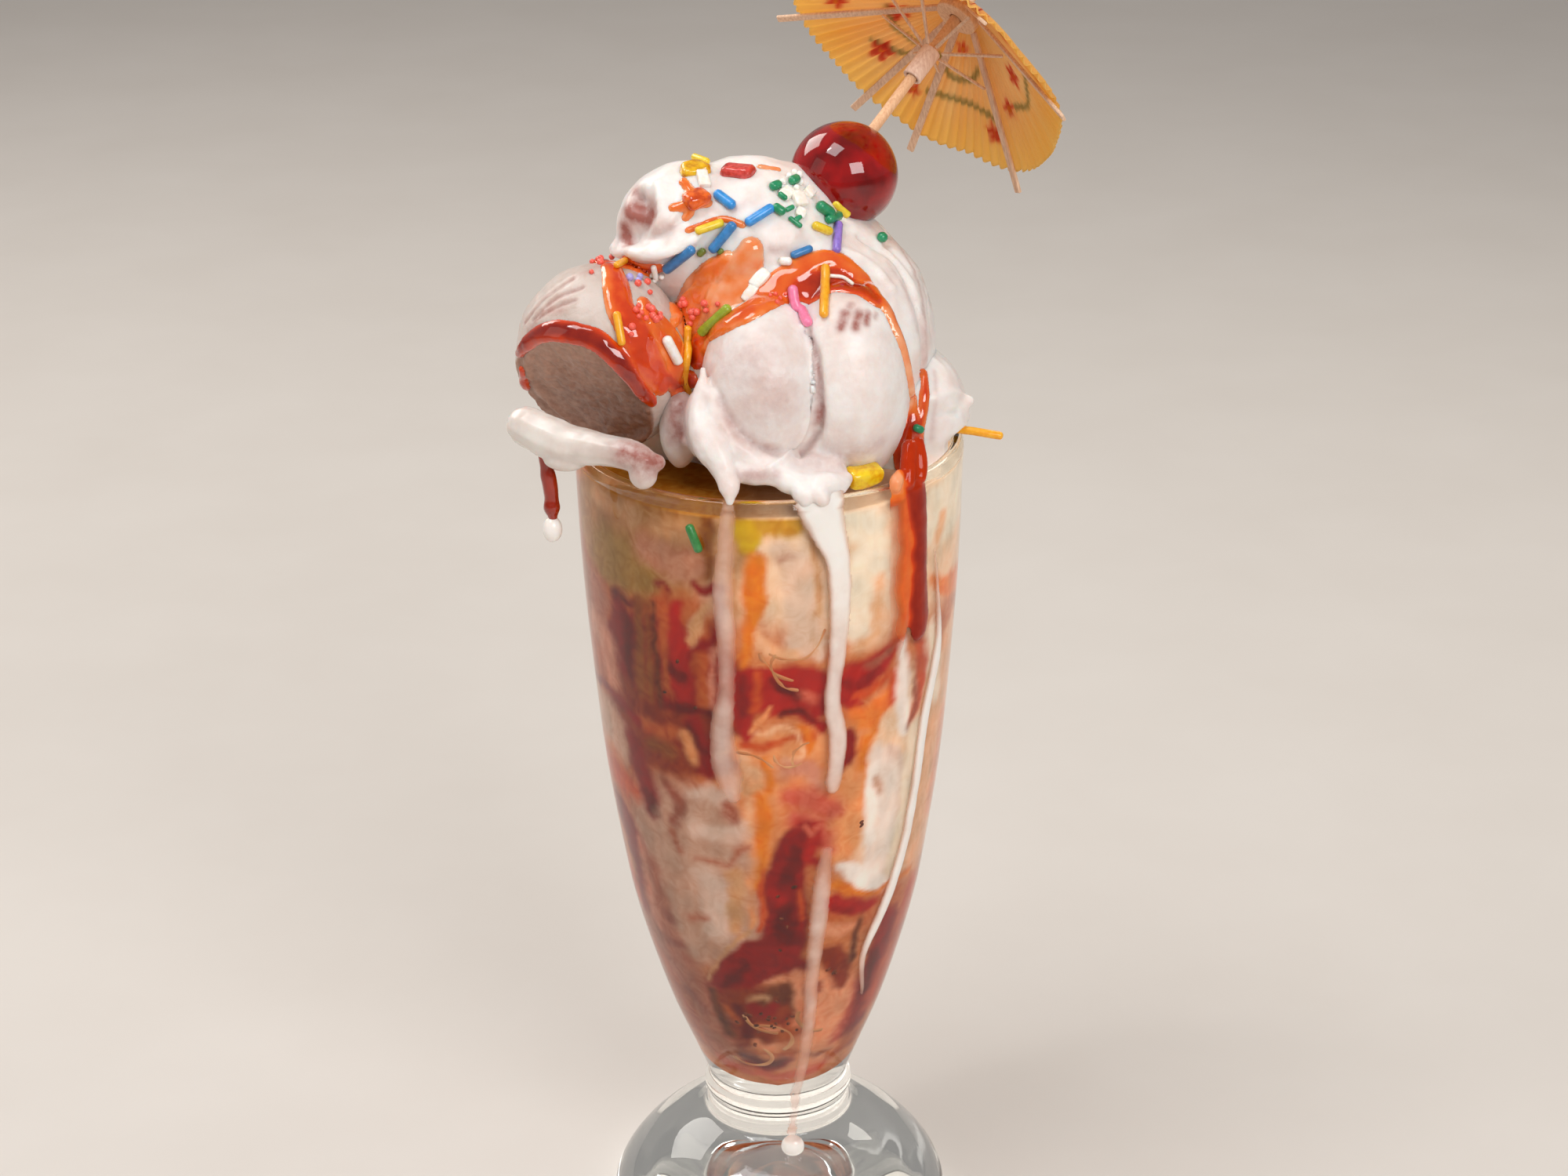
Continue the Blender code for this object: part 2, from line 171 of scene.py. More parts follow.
def place_points(piece, points):
    flat = (points * MM + np.array(AXIS)).astype(np.float32)
    piece.data.vertices.foreach_set("co", flat.ravel())
    piece.data.update()


def give_values(piece, name, values):
    """Store a number, or a colour, on every point of a piece for its material to read."""
    kind = "FLOAT" if values.ndim == 1 else "FLOAT_COLOR"
    layer = piece.data.attributes.new(name, kind, "POINT")
    if values.ndim == 1:
        layer.data.foreach_set("value", values.astype(np.float32))
    else:
        solid = np.hstack([values, np.ones((len(values), 1))]).astype(np.float32)
        layer.data.foreach_set("color", solid.ravel())


def waves(points, size, seed=0.0):
    """Smooth noise from -1 to 1 at each point, with lumps about this many millimetres across."""
    shift = Vector((seed * 7.3, seed * 3.1, seed * 5.7))
    return np.array([noise.noise(Vector(p) / size + shift) for p in points])


def smooth_path(points, per_span=6):
    """A Catmull-Rom curve through points of any number of values."""
    points = np.array(points, float)
    ends = 2 * points[0] - points[1], 2 * points[-1] - points[-2]
    padded = np.vstack([ends[0], points, ends[1]])
    path = []
    for a, b, c, d in zip(padded, padded[1:], padded[2:], padded[3:]):
        for step in range(per_span):
            t = step / per_span
            path.append(0.5 * (2 * b + (c - a) * t + (2 * a - 5 * b + 4 * c - d) * t * t
                               + (3 * b - a - 3 * c + d) * t ** 3))
    path.append(points[-1])
    return np.array(path)


def ramp(values, low, high):
    """From 0 at low to 1 at high, easing in and out."""
    t = np.clip((values - low) / (high - low), 0.0, 1.0)
    return t * t * (3 - 2 * t)


def turned(outline, steps):
    """A profile of (radius, height), drawn point by point and spun round the glass's axis."""
    start_fresh()
    radius, height = outline[0]
    bpy.ops.mesh.primitive_plane_add(size=MM, location=at(radius, 0, height))
    piece = settle()
    bpy.ops.object.mode_set(mode="EDIT")
    bpy.ops.mesh.merge(type="CENTER")
    for (r0, z0), (r1, z1) in zip(outline, outline[1:]):
        step = ((r1 - r0) * MM, 0.0, (z1 - z0) * MM)
        bpy.ops.mesh.extrude_region_move(TRANSFORM_OT_translate={"value": step})
    bpy.ops.mesh.select_all(action="SELECT")
    bpy.ops.mesh.spin(steps=steps, angle=FULL_TURN, center=AXIS, axis=(0, 0, 1))
    bpy.ops.mesh.select_all(action="SELECT")
    bpy.ops.mesh.remove_doubles(threshold=0.000005)
    bpy.ops.mesh.normals_make_consistent(inside=False)
    bpy.ops.object.mode_set(mode="OBJECT")
    return piece


def ball(centre, radii, turn=(0.0, 0.0, 0.0), segments=48, rings=32):
    start_fresh()
    bpy.ops.mesh.primitive_uv_sphere_add(
        segments=segments, ring_count=rings, radius=MM, location=at(*centre), rotation=turn)
    bpy.context.object.scale = radii
    return settle()


def tube(path, sides=16):
    """A roll through (x, y, z, radius), drawn as a curve with its own thickness at each point."""
    curve = bpy.data.curves.new("roll", "CURVE")
    curve.dimensions = "3D"
    curve.bevel_depth = MM
    curve.bevel_resolution = max(0, sides // 4 - 1)
    curve.use_fill_caps = True
    spline = curve.splines.new("POLY")
    spline.points.add(len(path) - 1)
    for point, (x, y, z, radius) in zip(spline.points, path):
        point.co = (*at(x, y, z), 1.0)
        point.radius = radius
    piece = bpy.data.objects.new("roll", curve)
    bpy.context.scene.collection.objects.link(piece)
    pick(piece)
    bpy.ops.object.convert(target="MESH")
    piece = bpy.context.object
    bpy.ops.object.mode_set(mode="EDIT")
    bpy.ops.mesh.select_all(action="SELECT")
    bpy.ops.mesh.remove_doubles(threshold=0.000001)
    bpy.ops.mesh.normals_make_consistent(inside=False)
    bpy.ops.object.mode_set(mode="OBJECT")
    return piece


def round_ends(path, share=1.0, start_share=None):
    """Bring a path of (x, y, z, radius) to a round point at both ends."""
    shares = (share if start_share is None else start_share), share
    path = [np.array(p, float) for p in path]
    caps = []
    for end, inner, flat in ((path[0], path[1], shares[0]), (path[-1], path[-2], shares[1])):
        way = end[:3] - inner[:3]
        way = way / max(np.linalg.norm(way), 1e-9)
        cap = []
        for angle in (25, 50, 70, 85):
            turn = math.radians(angle)
            reach = end[:3] + way * end[3] * flat * math.sin(turn)
            cap.append(np.append(reach, end[3] * math.cos(turn)))
        caps.append(cap)
    return np.array(caps[0][::-1] + path + caps[1])


def fused(pieces, name, voxel, smoothing=3):
    """Melt overlapping shapes into one skin."""
    piece = join(pieces, name)
    modify(piece, "REMESH", mode="VOXEL", voxel_size=voxel * MM)
    modify(piece, "SMOOTH", factor=0.5, iterations=smoothing)
    return piece


def cut_flat(piece, point, normal):
    """Cut away what lies beyond a plane and close the cut."""
    pick(piece)
    bpy.ops.object.mode_set(mode="EDIT")
    bpy.ops.mesh.select_all(action="SELECT")
    bpy.ops.mesh.bisect(plane_co=at(*point), plane_no=normal, use_fill=True, clear_outer=True)
    bpy.ops.object.mode_set(mode="OBJECT")


# ---- places on the surface -------------------------------------------------------------------
def surface_tree(pieces):
    """A search tree over several pieces, in millimetres."""
    corners, faces, start = [], [], 0
    for piece in pieces:
        points = points_of(piece)
        corners.extend(map(tuple, points))
        faces.extend([[start + v for v in polygon.vertices] for polygon in piece.data.polygons])
        start += len(points)
    return BVHTree.FromPolygons(corners, faces)


def seen(tree, x, z):
    """Where the line of sight through (x, z), on the upright plane across the glass, meets a surface."""
    aim = (Vector((x, 0.0, z)) - EYE).normalized()
    place, normal, _, _ = tree.ray_cast(EYE, aim)
    if place is None:
        place, normal, _, _ = tree.find_nearest(Vector((x, 0.0, z)))
    return np.array(place), np.array(normal)


def sighted(x, z, y):
    """The place at depth y on the line of sight through (x, z) on the upright plane."""
    share = (y - EYE.y) / -EYE.y
    return EYE.x + share * (x - EYE.x), y, EYE.z + share * (z - EYE.z)


def sighted_tube(route, sides=16):
    """A soft roll through (x, z, depth y, radius), its places taken along the lines of sight."""
    path = [(*sighted(x, z, y), radius) for x, z, y, radius in smooth_path(route, 4)]
    return tube(round_ends(path), sides)


def trail(tree, route, per_span=5):
    """A route of (x, z, ...) as seen from the front, laid on a surface as (x, y, z, ...)."""
    laid = []
    for x, z, *more in smooth_path(route, per_span):
        laid.append([*seen(tree, x, z)[0], *more])
    return np.array(laid)


def off_trail(points, path):
    """Each point's distance to a path of (x, y, z, ...), and the path's other values beside it."""
    best = np.full(len(points), 1e9)
    values = np.zeros((len(points), path.shape[1] - 3))
    for start, end in zip(path, path[1:]):
        way = end[:3] - start[:3]
        share = np.clip((points - start[:3]) @ way / max(way @ way, 1e-9), 0.0, 1.0)
        gap = np.linalg.norm(points - start[:3] - share[:, None] * way, axis=1)
        nearer = gap < best
        best[nearer] = gap[nearer]
        values[nearer] = (start[3:] + share[:, None] * (end[3:] - start[3:]))[nearer]
    return best, values


def press(piece, tree, route, depth):
    """Push the surface in along a route of (x, z, half width); a negative depth raises a ridge."""
    points = points_of(piece)
    gap, width = off_trail(points, trail(tree, route))
    dip = depth * np.exp(-(gap / np.maximum(width[:, 0], 0.1)) ** 2)
    place_points(piece, points - normals_of(piece) * dip[:, None])


def swell(piece, size, height, seed=0.0, where=1.0):
    """Raise and lower the surface by smooth noise."""
    points = points_of(piece)
    lift = waves(points, size, seed) * height * where
    place_points(piece, points + normals_of(piece) * lift[:, None])


# ---- colours and materials -------------------------------------------------------------------
def linear(colour):
    """A hex colour such as F2E8DF, turned to linear light."""
    parts = [int(colour[i:i + 2], 16) / 255 for i in (0, 2, 4)]
    return tuple(c / 12.92 if c <= 0.04045 else ((c + 0.055) / 1.055) ** 2.4 for c in parts)


def rgba(colour):
    return (*linear(colour), 1.0)


def add_node(tree, kind, inputs=(), **settings):
    """A node with its settings; an input takes a value or another node's output."""
    new = tree.nodes.new("ShaderNode" + kind)
    for key, value in settings.items():
        setattr(new, key, value)
    for key, value in dict(inputs).items():
        if isinstance(value, bpy.types.NodeSocket):
            tree.links.new(value, new.inputs[key])
        else:
            new.inputs[key].default_value = value
    return new


def new_material(name, **settings):
    """A Principled material with these settings, its node tree, its shader and its object coordinates."""
    material = bpy.data.materials.new(name)
    material.use_nodes = True
    tree = material.node_tree
    shader = tree.nodes["Principled BSDF"]
    for key, value in settings.items():
        shader.inputs[key.replace("_", " ")].default_value = value
    where = add_node(tree, "TexCoord").outputs["Object"]
    return material, tree, shader, where


def speckle(tree, where, size, detail=3.0):
    """Noise with lumps this many millimetres across."""
    return add_node(tree, "TexNoise", {"Vector": where, "Scale": 1000.0 / size, "Detail": detail,
                                       "Roughness": 0.55}).outputs["Fac"]


def blend(tree, share, first, second):
    """One colour going over into another."""
    return add_node(tree, "Mix", {0: share, 6: first, 7: second}, data_type="RGBA").outputs[2]


def spread(tree, value, low, high, to_low=0.0, to_high=1.0):
    return add_node(tree, "MapRange", {"Value": value, "From Min": low, "From Max": high,
                                       "To Min": to_low, "To Max": to_high}).outputs["Result"]


def bumps(tree, shader, height, distance, strength=1.0):
    """Fine relief; distance is in millimetres."""
    bump = add_node(tree, "Bump", {"Height": height, "Distance": distance * MM,
                                   "Strength": strength})
    tree.links.new(bump.outputs["Normal"], shader.inputs["Normal"])


# ---- glass -----------------------------------------------------------------------------------
def glass_material():
    """Pressed soda-lime glass: clear, fire-polished, with the faint unevenness that pressing leaves."""
    material, tree, shader, where = new_material(
        "pressed soda-lime glass", Base_Color=rgba("FBFDFB"), Roughness=0.0, IOR=1.47,
        Transmission_Weight=1.0)
    smears = speckle(tree, where, 9.0, 2.0)
    tree.links.new(spread(tree, smears, 0.45, 0.75, 0.0, 0.06), shader.inputs["Roughness"])
    bumps(tree, shader, speckle(tree, where, 14.0, 1.0), 0.05, 0.25)
    return material


def curved_outline(outline, per_span, sharp=()):
    """An outline rounded between its points, apart from the corners named by their index."""
    stops = sorted({0, len(outline) - 1, *sharp})
    path = []
    for first, last in zip(stops, stops[1:]):
        path.extend(smooth_path(outline[first:last + 1], per_span)[:-1])
    return path + [np.array(outline[-1], float)]


def make_glass():
    inside = curved_outline(GLASS_INSIDE, 5)
    outside = curved_outline(GLASS_OUTSIDE, 5, sharp=(1,))
    recess = curved_outline(FOOT_RECESS, 6, sharp=(1,))
    piece = turned([*inside[::-1], *outside, *recess], GLASS_STEPS)
    piece.visible_shadow = False        # light goes through the clear wall to the filling
    finish(piece, "glass_clear", glass_material(), ["glass"])


def around_axis(reach, degrees, height):
    """The place at this reach from the glass's axis, turned by some degrees from the front."""
    turn = math.radians(degrees)
    return reach * math.sin(turn), -reach * math.cos(turn), height


def wall_radius(heights):
    """The radius of the glass's outside at each height."""
    outline = np.array(curved_outline(GLASS_OUTSIDE, 5, sharp=(1,)))[::-1]
    return np.interp(heights, outline[:, 1], outline[:, 0])


# ---- what fills the glass --------------------------------------------------------------------
# Named colours of the mixed filling, as they look through the glass; the darker colours at the left and at
# the edges also carry painted shade.
FILLING = {
    "ivory": "F2DFC6", "white": "F6E8DC", "cream": "EFDACB", "shell": "DFBCA2", "peach": "E3945A",
    "light_peach": "EDB284", "salmon": "E8976C", "taupe": "C89A80", "pale_taupe": "DABAA6", "dusk": "B4684A",
    "mauve": "9C5038", "jelly": "B07840", "olive": "A87C38", "rose_jelly": "BE8060", "amber": "8C4A0C",
    "yellow": "D0A40A", "mango": "C48A1C", "orange": "DE7810", "bright_orange": "EA7C28", "tan": "D09868",
    "rust": "B4521E", "ember": "C84A10", "brown": "8C4814", "chestnut": "8A2C08", "red": "AC1004",
    "deep_red": "8C0602", "dark_red": "660300", "milk": "EFC8A4", "pink_red": "CC5C42", "pink": "D48A6C",
    "bark": "6A2C0A",
}

# Strokes laid over each other, first to last: colour, softness of the edge, then the route as
# (angle from the front in degrees, height, half width).
STROKES = [
    # broad washes
    ("milk", 8, [(-6, 184, 12), (34, 182, 18), (70, 184, 18), (92, 184, 16)]),
    ("rust", 8, [(-90, 150, 16), (-40, 152, 24)]),
    ("peach", 8, [(-10, 134, 9), (16, 134, 10), (34, 134, 12)]),
    ("milk", 8, [(52, 140, 12), (52, 112, 14)]),
    ("light_peach", 8, [(76, 140, 12), (72, 110, 13)]),
    ("taupe", 8, [(-36, 112, 16), (-32, 94, 16)]),
    ("dusk", 8, [(-64, 84, 12), (-54, 58, 12)]),
    ("salmon", 8, [(16, 72, 6), (30, 62, 10), (30, 50, 8)]),
    ("chestnut", 6, [(-26, 68, 6), (-6, 64, 9), (4, 66, 6)]),
    ("peach", 6, [(-7, 118, 4), (-7, 104, 3)]),
    # clear jelly and milk under the rim, left
    ("rust", 6, [(-86, 182, 12), (-66, 182, 10)]),
    ("jelly", 5, [(-64, 186, 12), (-44, 187, 12), (-20, 190, 11)]),
    ("olive", 4, [(-58, 180, 7), (-46, 180, 7)]),
    ("rose_jelly", 4, [(-40, 186, 4), (-30, 184, 5), (-22, 184, 4)]),
    ("tan", 4, [(-36, 191, 2), (-26, 191, 2)]),
    ("amber", 3, [(-36, 198, 2.5), (-20, 198, 2.5)]),
    ("tan", 4, [(-64, 193, 2), (-46, 192, 2.5)]),
    ("amber", 2, [(-19, 197, 1.6), (-18.5, 188, 1.4), (-18, 181, 1.0)]),
    ("tan", 2, [(-13, 197, 2.4), (-13, 184, 2.2), (-12, 174, 1.6)]),
    # left column of syrup with clear brown channels
    ("deep_red", 3, [(-58, 160, 5), (-40, 158, 12), (-22, 156, 10)]),
    ("chestnut", 3, [(-58, 140, 7), (-40, 138, 8), (-20, 140, 8)]),
    ("deep_red", 2, [(-55, 169, 2.5), (-53, 158, 3.5), (-52, 148, 3)]),
    ("dark_red", 2, [(-57, 171, 0.9), (-51, 171, 1.2), (-46, 170.5, 0.9)]),
    ("dark_red", 3, [(-51, 166, 1.6), (-51, 152, 1.6)]),
    ("brown", 2, [(-44.5, 172, 1.5), (-45.5, 160, 1.7), (-47, 148, 1.7)]),
    ("brown", 2, [(-40.5, 172, 0.7), (-41.5, 160, 1.0), (-42.5, 147, 1.2)]),
    ("bark", 1.5, [(-38.3, 172, 0.7), (-38.6, 158, 0.8), (-38.8, 147, 0.7)]),
    ("rust", 2, [(-33.8, 177, 1.0), (-34.5, 164, 1.5), (-35, 151, 1.3)]),
    ("red", 2, [(-30, 173, 1.6), (-30, 162, 2.2), (-30, 152, 2.6)]),
    ("dark_red", 2, [(-32, 157, 1.6), (-29.5, 156, 1.8)]),
    ("deep_red", 1.5, [(-36.5, 177.5, 1.0), (-34.5, 178.4, 0.7), (-33, 177, 0.8)]),
    ("deep_red", 1.2, [(-24, 179.5, 0.7), (-21, 178, 0.9), (-17.5, 178.5, 0.9), (-14.8, 179, 0.7)]),
    ("deep_red", 1.2, [(-16.5, 179, 0.8), (-15, 173, 0.8), (-18, 167, 0.9), (-22, 163.4, 0.9),
                       (-25, 162, 0.6)]),
    ("red", 1.5, [(-20, 172, 0.6), (-24, 169, 0.8), (-26.5, 164, 0.7)]),
    ("tan", 1.5, [(-19, 174.6, 0.9), (-22.5, 169.5, 1.5), (-25.5, 165.2, 1.2)]),
    ("rust", 2, [(-22, 161, 1.6), (-22, 154, 1.8), (-21, 148, 1.6)]),
    ("pink", 2, [(-17.8, 164, 0.6), (-18.6, 156, 0.7), (-18.4, 148, 0.6)]),
    ("dark_red", 2, [(-37, 147, 1.0), (-29, 148, 1.6), (-20, 147.5, 1.3)]),
    ("deep_red", 2.5, [(-25, 144, 2.6), (-23, 138, 2.8), (-23, 133, 2.4)]),
    ("dark_red", 2, [(-27, 143, 1.0), (-24, 138, 1.3)]),
    ("chestnut", 3, [(-57, 149, 2), (-46, 146, 2.4), (-38, 144, 2)]),
    ("rust", 2.5, [(-47, 141, 1.6), (-40, 139.5, 1.8), (-34, 141, 1.4)]),
    ("peach", 2, [(-29.5, 141, 1.1), (-28, 137.5, 1.6), (-27.5, 134.6, 1.1)]),
    ("brown", 2.5, [(-45, 136.4, 1.3), (-36, 135, 1.5)]),
    # streaks at the left edge, darkened by painted shade
    ("dusk", 4, [(-86, 166, 7), (-68, 168, 6)]),
    ("pink", 4, [(-72, 159, 4), (-64, 156, 4.5), (-63, 149, 3)]),
    ("dusk", 2, [(-70, 165.5, 1.0), (-62, 163, 0.8)]),
    ("taupe", 4, [(-84, 136, 6), (-68, 135, 6), (-62, 131, 4)]),
    ("deep_red", 1.6, [(-84, 143, 0.9), (-72, 144.8, 1.2), (-60, 143.6, 1.4), (-50, 140.5, 1.4)]),
    ("ember", 4, [(-84, 122, 4), (-68, 122, 4), (-58, 121, 3)]),
    ("deep_red", 3, [(-54, 134, 3), (-50, 127, 3.6), (-47, 119, 3.4)]),
    ("dark_red", 2.5, [(-49, 122, 1.6), (-46.5, 118, 1.6)]),
    ("deep_red", 3, [(-74, 112, 5), (-66, 106, 5), (-64, 96, 4), (-68, 88, 3)]),
    ("ember", 3, [(-84, 98, 3), (-76, 90, 3)]),
    # the middle, under the rim
    ("mango", 2, [(-1, 197, 1.6), (6, 196.4, 1.8), (11, 196, 1.2)]),
    ("yellow", 1.6, [(-8, 196, 1.6), (-6, 193, 2.2), (-4.5, 190.2, 1.6)]),
    ("shell", 3, [(4, 188, 3), (9, 184, 4.2), (10, 174, 4.2), (10, 166, 3.6)]),
    ("taupe", 2, [(3, 186, 0.9), (7, 187.5, 0.8)]),
    ("tan", 1.5, [(13.2, 192, 0.8), (14.2, 178, 0.9), (13.4, 164, 0.8)]),
    ("ivory", 3, [(23, 194, 4), (32, 190, 4), (30, 180, 6), (29, 168, 5)]),
    ("light_peach", 3, [(34.5, 178, 1.0), (34, 166, 1.6), (28, 163, 1.4)]),
    ("orange", 1.8, [(-3.2, 186, 1.5), (-3.6, 179, 1.9), (-5, 173, 1.6)]),
    ("orange", 2, [(-7, 172, 1.0), (-7.4, 165, 1.0), (-8.5, 160, 0.8)]),
    ("light_peach", 2, [(-5, 170, 1.2), (-2.4, 166, 1.8), (2, 163.6, 1.8), (7, 163, 1.2)]),
    ("shell", 2, [(14, 170, 1.2), (15, 163, 1.2)]),
    # swirls of noodle milk under the red band
    ("peach", 3, [(-9, 140, 4), (2, 138, 6), (14, 137, 5)]),
    ("ember", 1.6, [(-9, 141, 1.2), (-2, 140, 1.0), (4, 141.5, 0.9), (13, 142, 1.3)]),
    ("orange", 1.6, [(9, 144.6, 1.0), (12.5, 140.6, 1.2), (10, 137, 0.8)]),
    ("light_peach", 1.2, [(-5.8, 143.6, 0.4), (-1, 143.4, 0.6), (4, 145, 0.5), (8, 142, 0.5),
                          (9.5, 137.6, 0.7), (5, 136.2, 0.6)]),
    ("light_peach", 2, [(-9.4, 138, 1.4), (-7, 133, 1.8), (-3.6, 135, 1.2)]),
    ("orange", 2, [(-2, 137, 0.9), (-0.6, 132.6, 1.3), (-1, 129, 1.2)]),
    ("pink", 3, [(4, 134, 2), (12, 133.4, 2.4), (15, 129, 1.8)]),
    ("tan", 2, [(-11.5, 131, 1.4), (-8, 128.6, 1.6), (-4.6, 130, 1.0)]),
    # the red band across the front
    ("red", 1.8, [(-10, 156, 2.6), (-5, 154.5, 5.2), (3, 154.6, 6.0), (11, 154.6, 5.6), (16, 152, 4.5)]),
    ("red", 1.8, [(16, 152, 4), (24, 153.6, 4.4), (31, 156, 4.0), (38, 158.4, 3.0), (45, 161, 1.6)]),
    ("red", 1.4, [(-9.6, 151, 2.2), (-8.6, 145.6, 2.4), (-8, 142.4, 1.0)]),
    ("red", 1.2, [(0, 148.4, 1.0), (7, 149.2, 1.6), (12, 147, 1.4), (16.6, 144.4, 1.4)]),
    ("dark_red", 1.6, [(1, 156.6, 1.0), (4.5, 155, 1.4), (8, 152.6, 1.0)]),
    ("deep_red", 1.6, [(-9, 157, 1.0), (-8, 149, 1.3)]),
    ("dark_red", 1.4, [(2.5, 147.8, 0.6), (8, 149, 0.8), (13.5, 146.2, 0.7)]),
    ("pink_red", 2, [(8.6, 153.4, 0.8), (12.4, 151.6, 1.3)]),
    ("ember", 1.4, [(-3.8, 158, 0.8), (-4.8, 153, 0.9), (-6, 149.6, 0.5)]),
    ("peach", 1.0, [(-1.4, 149.8, 0.5), (-4, 146.4, 0.6), (-6.6, 143.8, 0.4)]),
    ("deep_red", 2, [(23, 155, 1.2), (29, 153, 1.6), (35, 156, 1.4)]),
    ("mauve", 2, [(32, 158.6, 0.8), (37, 158.4, 1.2), (42, 160.6, 0.9)]),
    ("ember", 1.6, [(27, 150, 0.9), (34, 151.4, 1.0), (40, 154, 0.9)]),
    ("red", 1.4, [(22, 149.6, 1.2), (26, 148.4, 1.4), (30, 148.2, 0.8)]),
    # right of the middle
    ("bright_orange", 2.5, [(27, 146, 1.6), (33, 144, 3.4), (38, 146.6, 3.0), (42, 149, 2.4)]),
    ("peach", 2.5, [(31, 139, 2.4), (29, 130, 3.2), (27.5, 120, 3.4), (27, 112, 3)]),
    ("orange", 2.5, [(36, 141, 1.2), (31, 137, 1.4), (30, 132, 1.2)]),
    ("deep_red", 1.4, [(26, 142, 1.0), (26.6, 138, 1.5), (24.4, 134, 1.3), (23.4, 131.6, 0.8)]),
    ("ember", 2.0, [(42, 153, 1.6), (43, 147, 1.4)]),
    ("white", 2, [(46, 160, 1.2), (46.6, 152, 1.9), (47.4, 144, 2.0), (49, 138, 1.6)]),
    ("ember", 2, [(53, 161, 1.2), (56, 154, 2.3), (55.5, 147, 2.0), (52.5, 140, 1.2)]),
    ("mauve", 1.8, [(52.5, 149, 0.8), (53.6, 143, 0.9), (51, 138.4, 0.7)]),
    ("ivory", 3, [(80, 190, 8), (62, 188, 8)]),
    ("light_peach", 2.5, [(64, 186, 1.8), (61, 181.6, 1.8)]),
    ("bright_orange", 2.5, [(59, 172, 1.2), (66, 169.6, 2.6), (76, 167.6, 3.4), (88, 166, 4)]),
    ("ivory", 3, [(60, 160, 2.4), (64, 152, 3.6), (68, 144, 3.6)]),
    ("light_peach", 3, [(78, 154, 5), (76, 146, 4)]),
    # white ice cream, right
    ("cream", 2.5, [(37, 134, 2.6), (42, 128, 5.0), (44, 116, 6.5), (44, 106, 5.6)]),
    ("white", 2, [(35.6, 131, 1.4), (36.6, 121, 1.8), (37, 112, 1.4)]),
    ("taupe", 2, [(38, 128, 0.9), (40, 124, 1.1)]),
    ("pale_taupe", 2, [(43, 134, 1.0), (50, 128, 1.2), (50, 116, 1.0)]),
    ("ivory", 2.5, [(56, 136, 3.2), (54.6, 122, 3.2), (53.6, 108, 2.6), (51, 99, 1.8)]),
    ("light_peach", 3, [(66, 130, 3.6), (66, 116, 4.4), (66, 104, 4)]),
    ("salmon", 3, [(80, 132, 4), (80, 112, 5)]),
    ("white", 1.8, [(24.6, 106.6, 1.0), (29, 104.8, 1.9), (35, 102.4, 2.9), (42, 99.6, 3.2), (48, 97, 1.8)]),
    ("peach", 2, [(24, 113, 1.6), (23.6, 108.6, 1.2)]),
    # pink haze, then the slanting syrup run
    ("pink_red", 3, [(6, 127, 2.4), (14, 125, 3.2), (21, 122.6, 2.8)]),
    ("pink_red", 3, [(8, 121, 2.2), (16, 118, 2.4), (20, 112, 1.6)]),
    ("red", 3.5, [(9, 119.6, 1.0), (15, 118.4, 1.2)]),
    ("light_peach", 2.5, [(-7.6, 126, 1.2), (-8.4, 118, 1.5), (-8.8, 112, 1.0)]),
    ("orange", 2.5, [(-4, 127, 1.6), (-3.8, 119, 1.9), (-5.6, 111, 1.6), (-5.6, 103, 1.0)]),
    ("deep_red", 1.8, [(12, 117.6, 2.6), (6.4, 113, 4.0), (4.0, 106, 4.8), (3.6, 98, 5.0), (4, 91, 5.2),
                       (4, 86, 4.4)]),
    ("deep_red", 1.8, [(4, 86.4, 4), (-7, 84.4, 3.4), (-16, 80, 3.6), (-25, 75.2, 3.2), (-33, 70.4, 2.0)]),
    ("deep_red", 2.4, [(8, 80, 3.4), (-4, 78.5, 4.0), (-16, 75.5, 4.0), (-27, 71.5, 3.2), (-35, 68.5, 2.0)]),
    ("red", 2.2, [(16, 119, 0.8), (15, 114, 2.0), (11, 110, 2.0), (16, 108, 1.2)]),
    ("pink_red", 1.2, [(11, 118.8, 0.4), (14, 117.2, 0.7), (17.4, 118.8, 0.5)]),
    ("dark_red", 1.8, [(8, 112, 1.2), (6.6, 108, 2.0), (4.6, 104.2, 1.6)]),
    ("dark_red", 2, [(5, 97, 1.8), (4, 92.4, 2.6), (5.4, 87.4, 2.0)]),
    ("dark_red", 1.8, [(-12, 80.6, 0.9), (-20, 75, 1.4), (-25, 72, 1.0)]),
    ("red", 1.8, [(-0.6, 101, 1.2), (2.4, 98.8, 0.9)]),
    ("ember", 1.4, [(-4.6, 108, 0.5), (-4.8, 98, 0.7), (-7, 90.4, 0.6)]),
    ("peach", 1.3, [(-9.8, 104, 0.8), (-9.4, 97, 1.0), (-10, 91.6, 0.6)]),
    ("tan", 1.4, [(-11, 90.2, 0.5), (-17, 87.0, 0.6), (-25, 80.4, 0.6), (-33, 73.6, 0.5)]),
    ("ember", 1.2, [(9.6, 101, 0.5), (10.6, 93, 0.5)]),
    # under the white tongue, right
    ("orange", 1.5, [(22.6, 102.2, 1.0), (28, 100, 1.3), (36, 97.2, 1.0), (44, 95.4, 0.8), (56, 97, 0.9),
                     (66, 97, 1.0)]),
    ("red", 1.8, [(23.6, 96.4, 2.6), (30, 94.4, 2.6), (37, 92.6, 2.0), (43, 92.4, 1.2)]),
    ("deep_red", 1.8, [(25, 94.6, 1.2), (31, 92.8, 1.3)]),
    ("salmon", 2.5, [(21.6, 88.6, 1.6), (27, 88, 1.5), (33, 88.2, 1.0)]),
    ("chestnut", 2, [(23, 81.6, 2.4), (28.4, 79, 3.2), (31.6, 74, 2.2), (32.6, 70.4, 1.2)]),
    ("bark", 1.5, [(37, 88.6, 0.8), (35.6, 83.4, 1.0), (36, 79, 0.8)]),
    ("mauve", 1.5, [(21.6, 73, 0.9), (22.4, 70.8, 0.7)]),
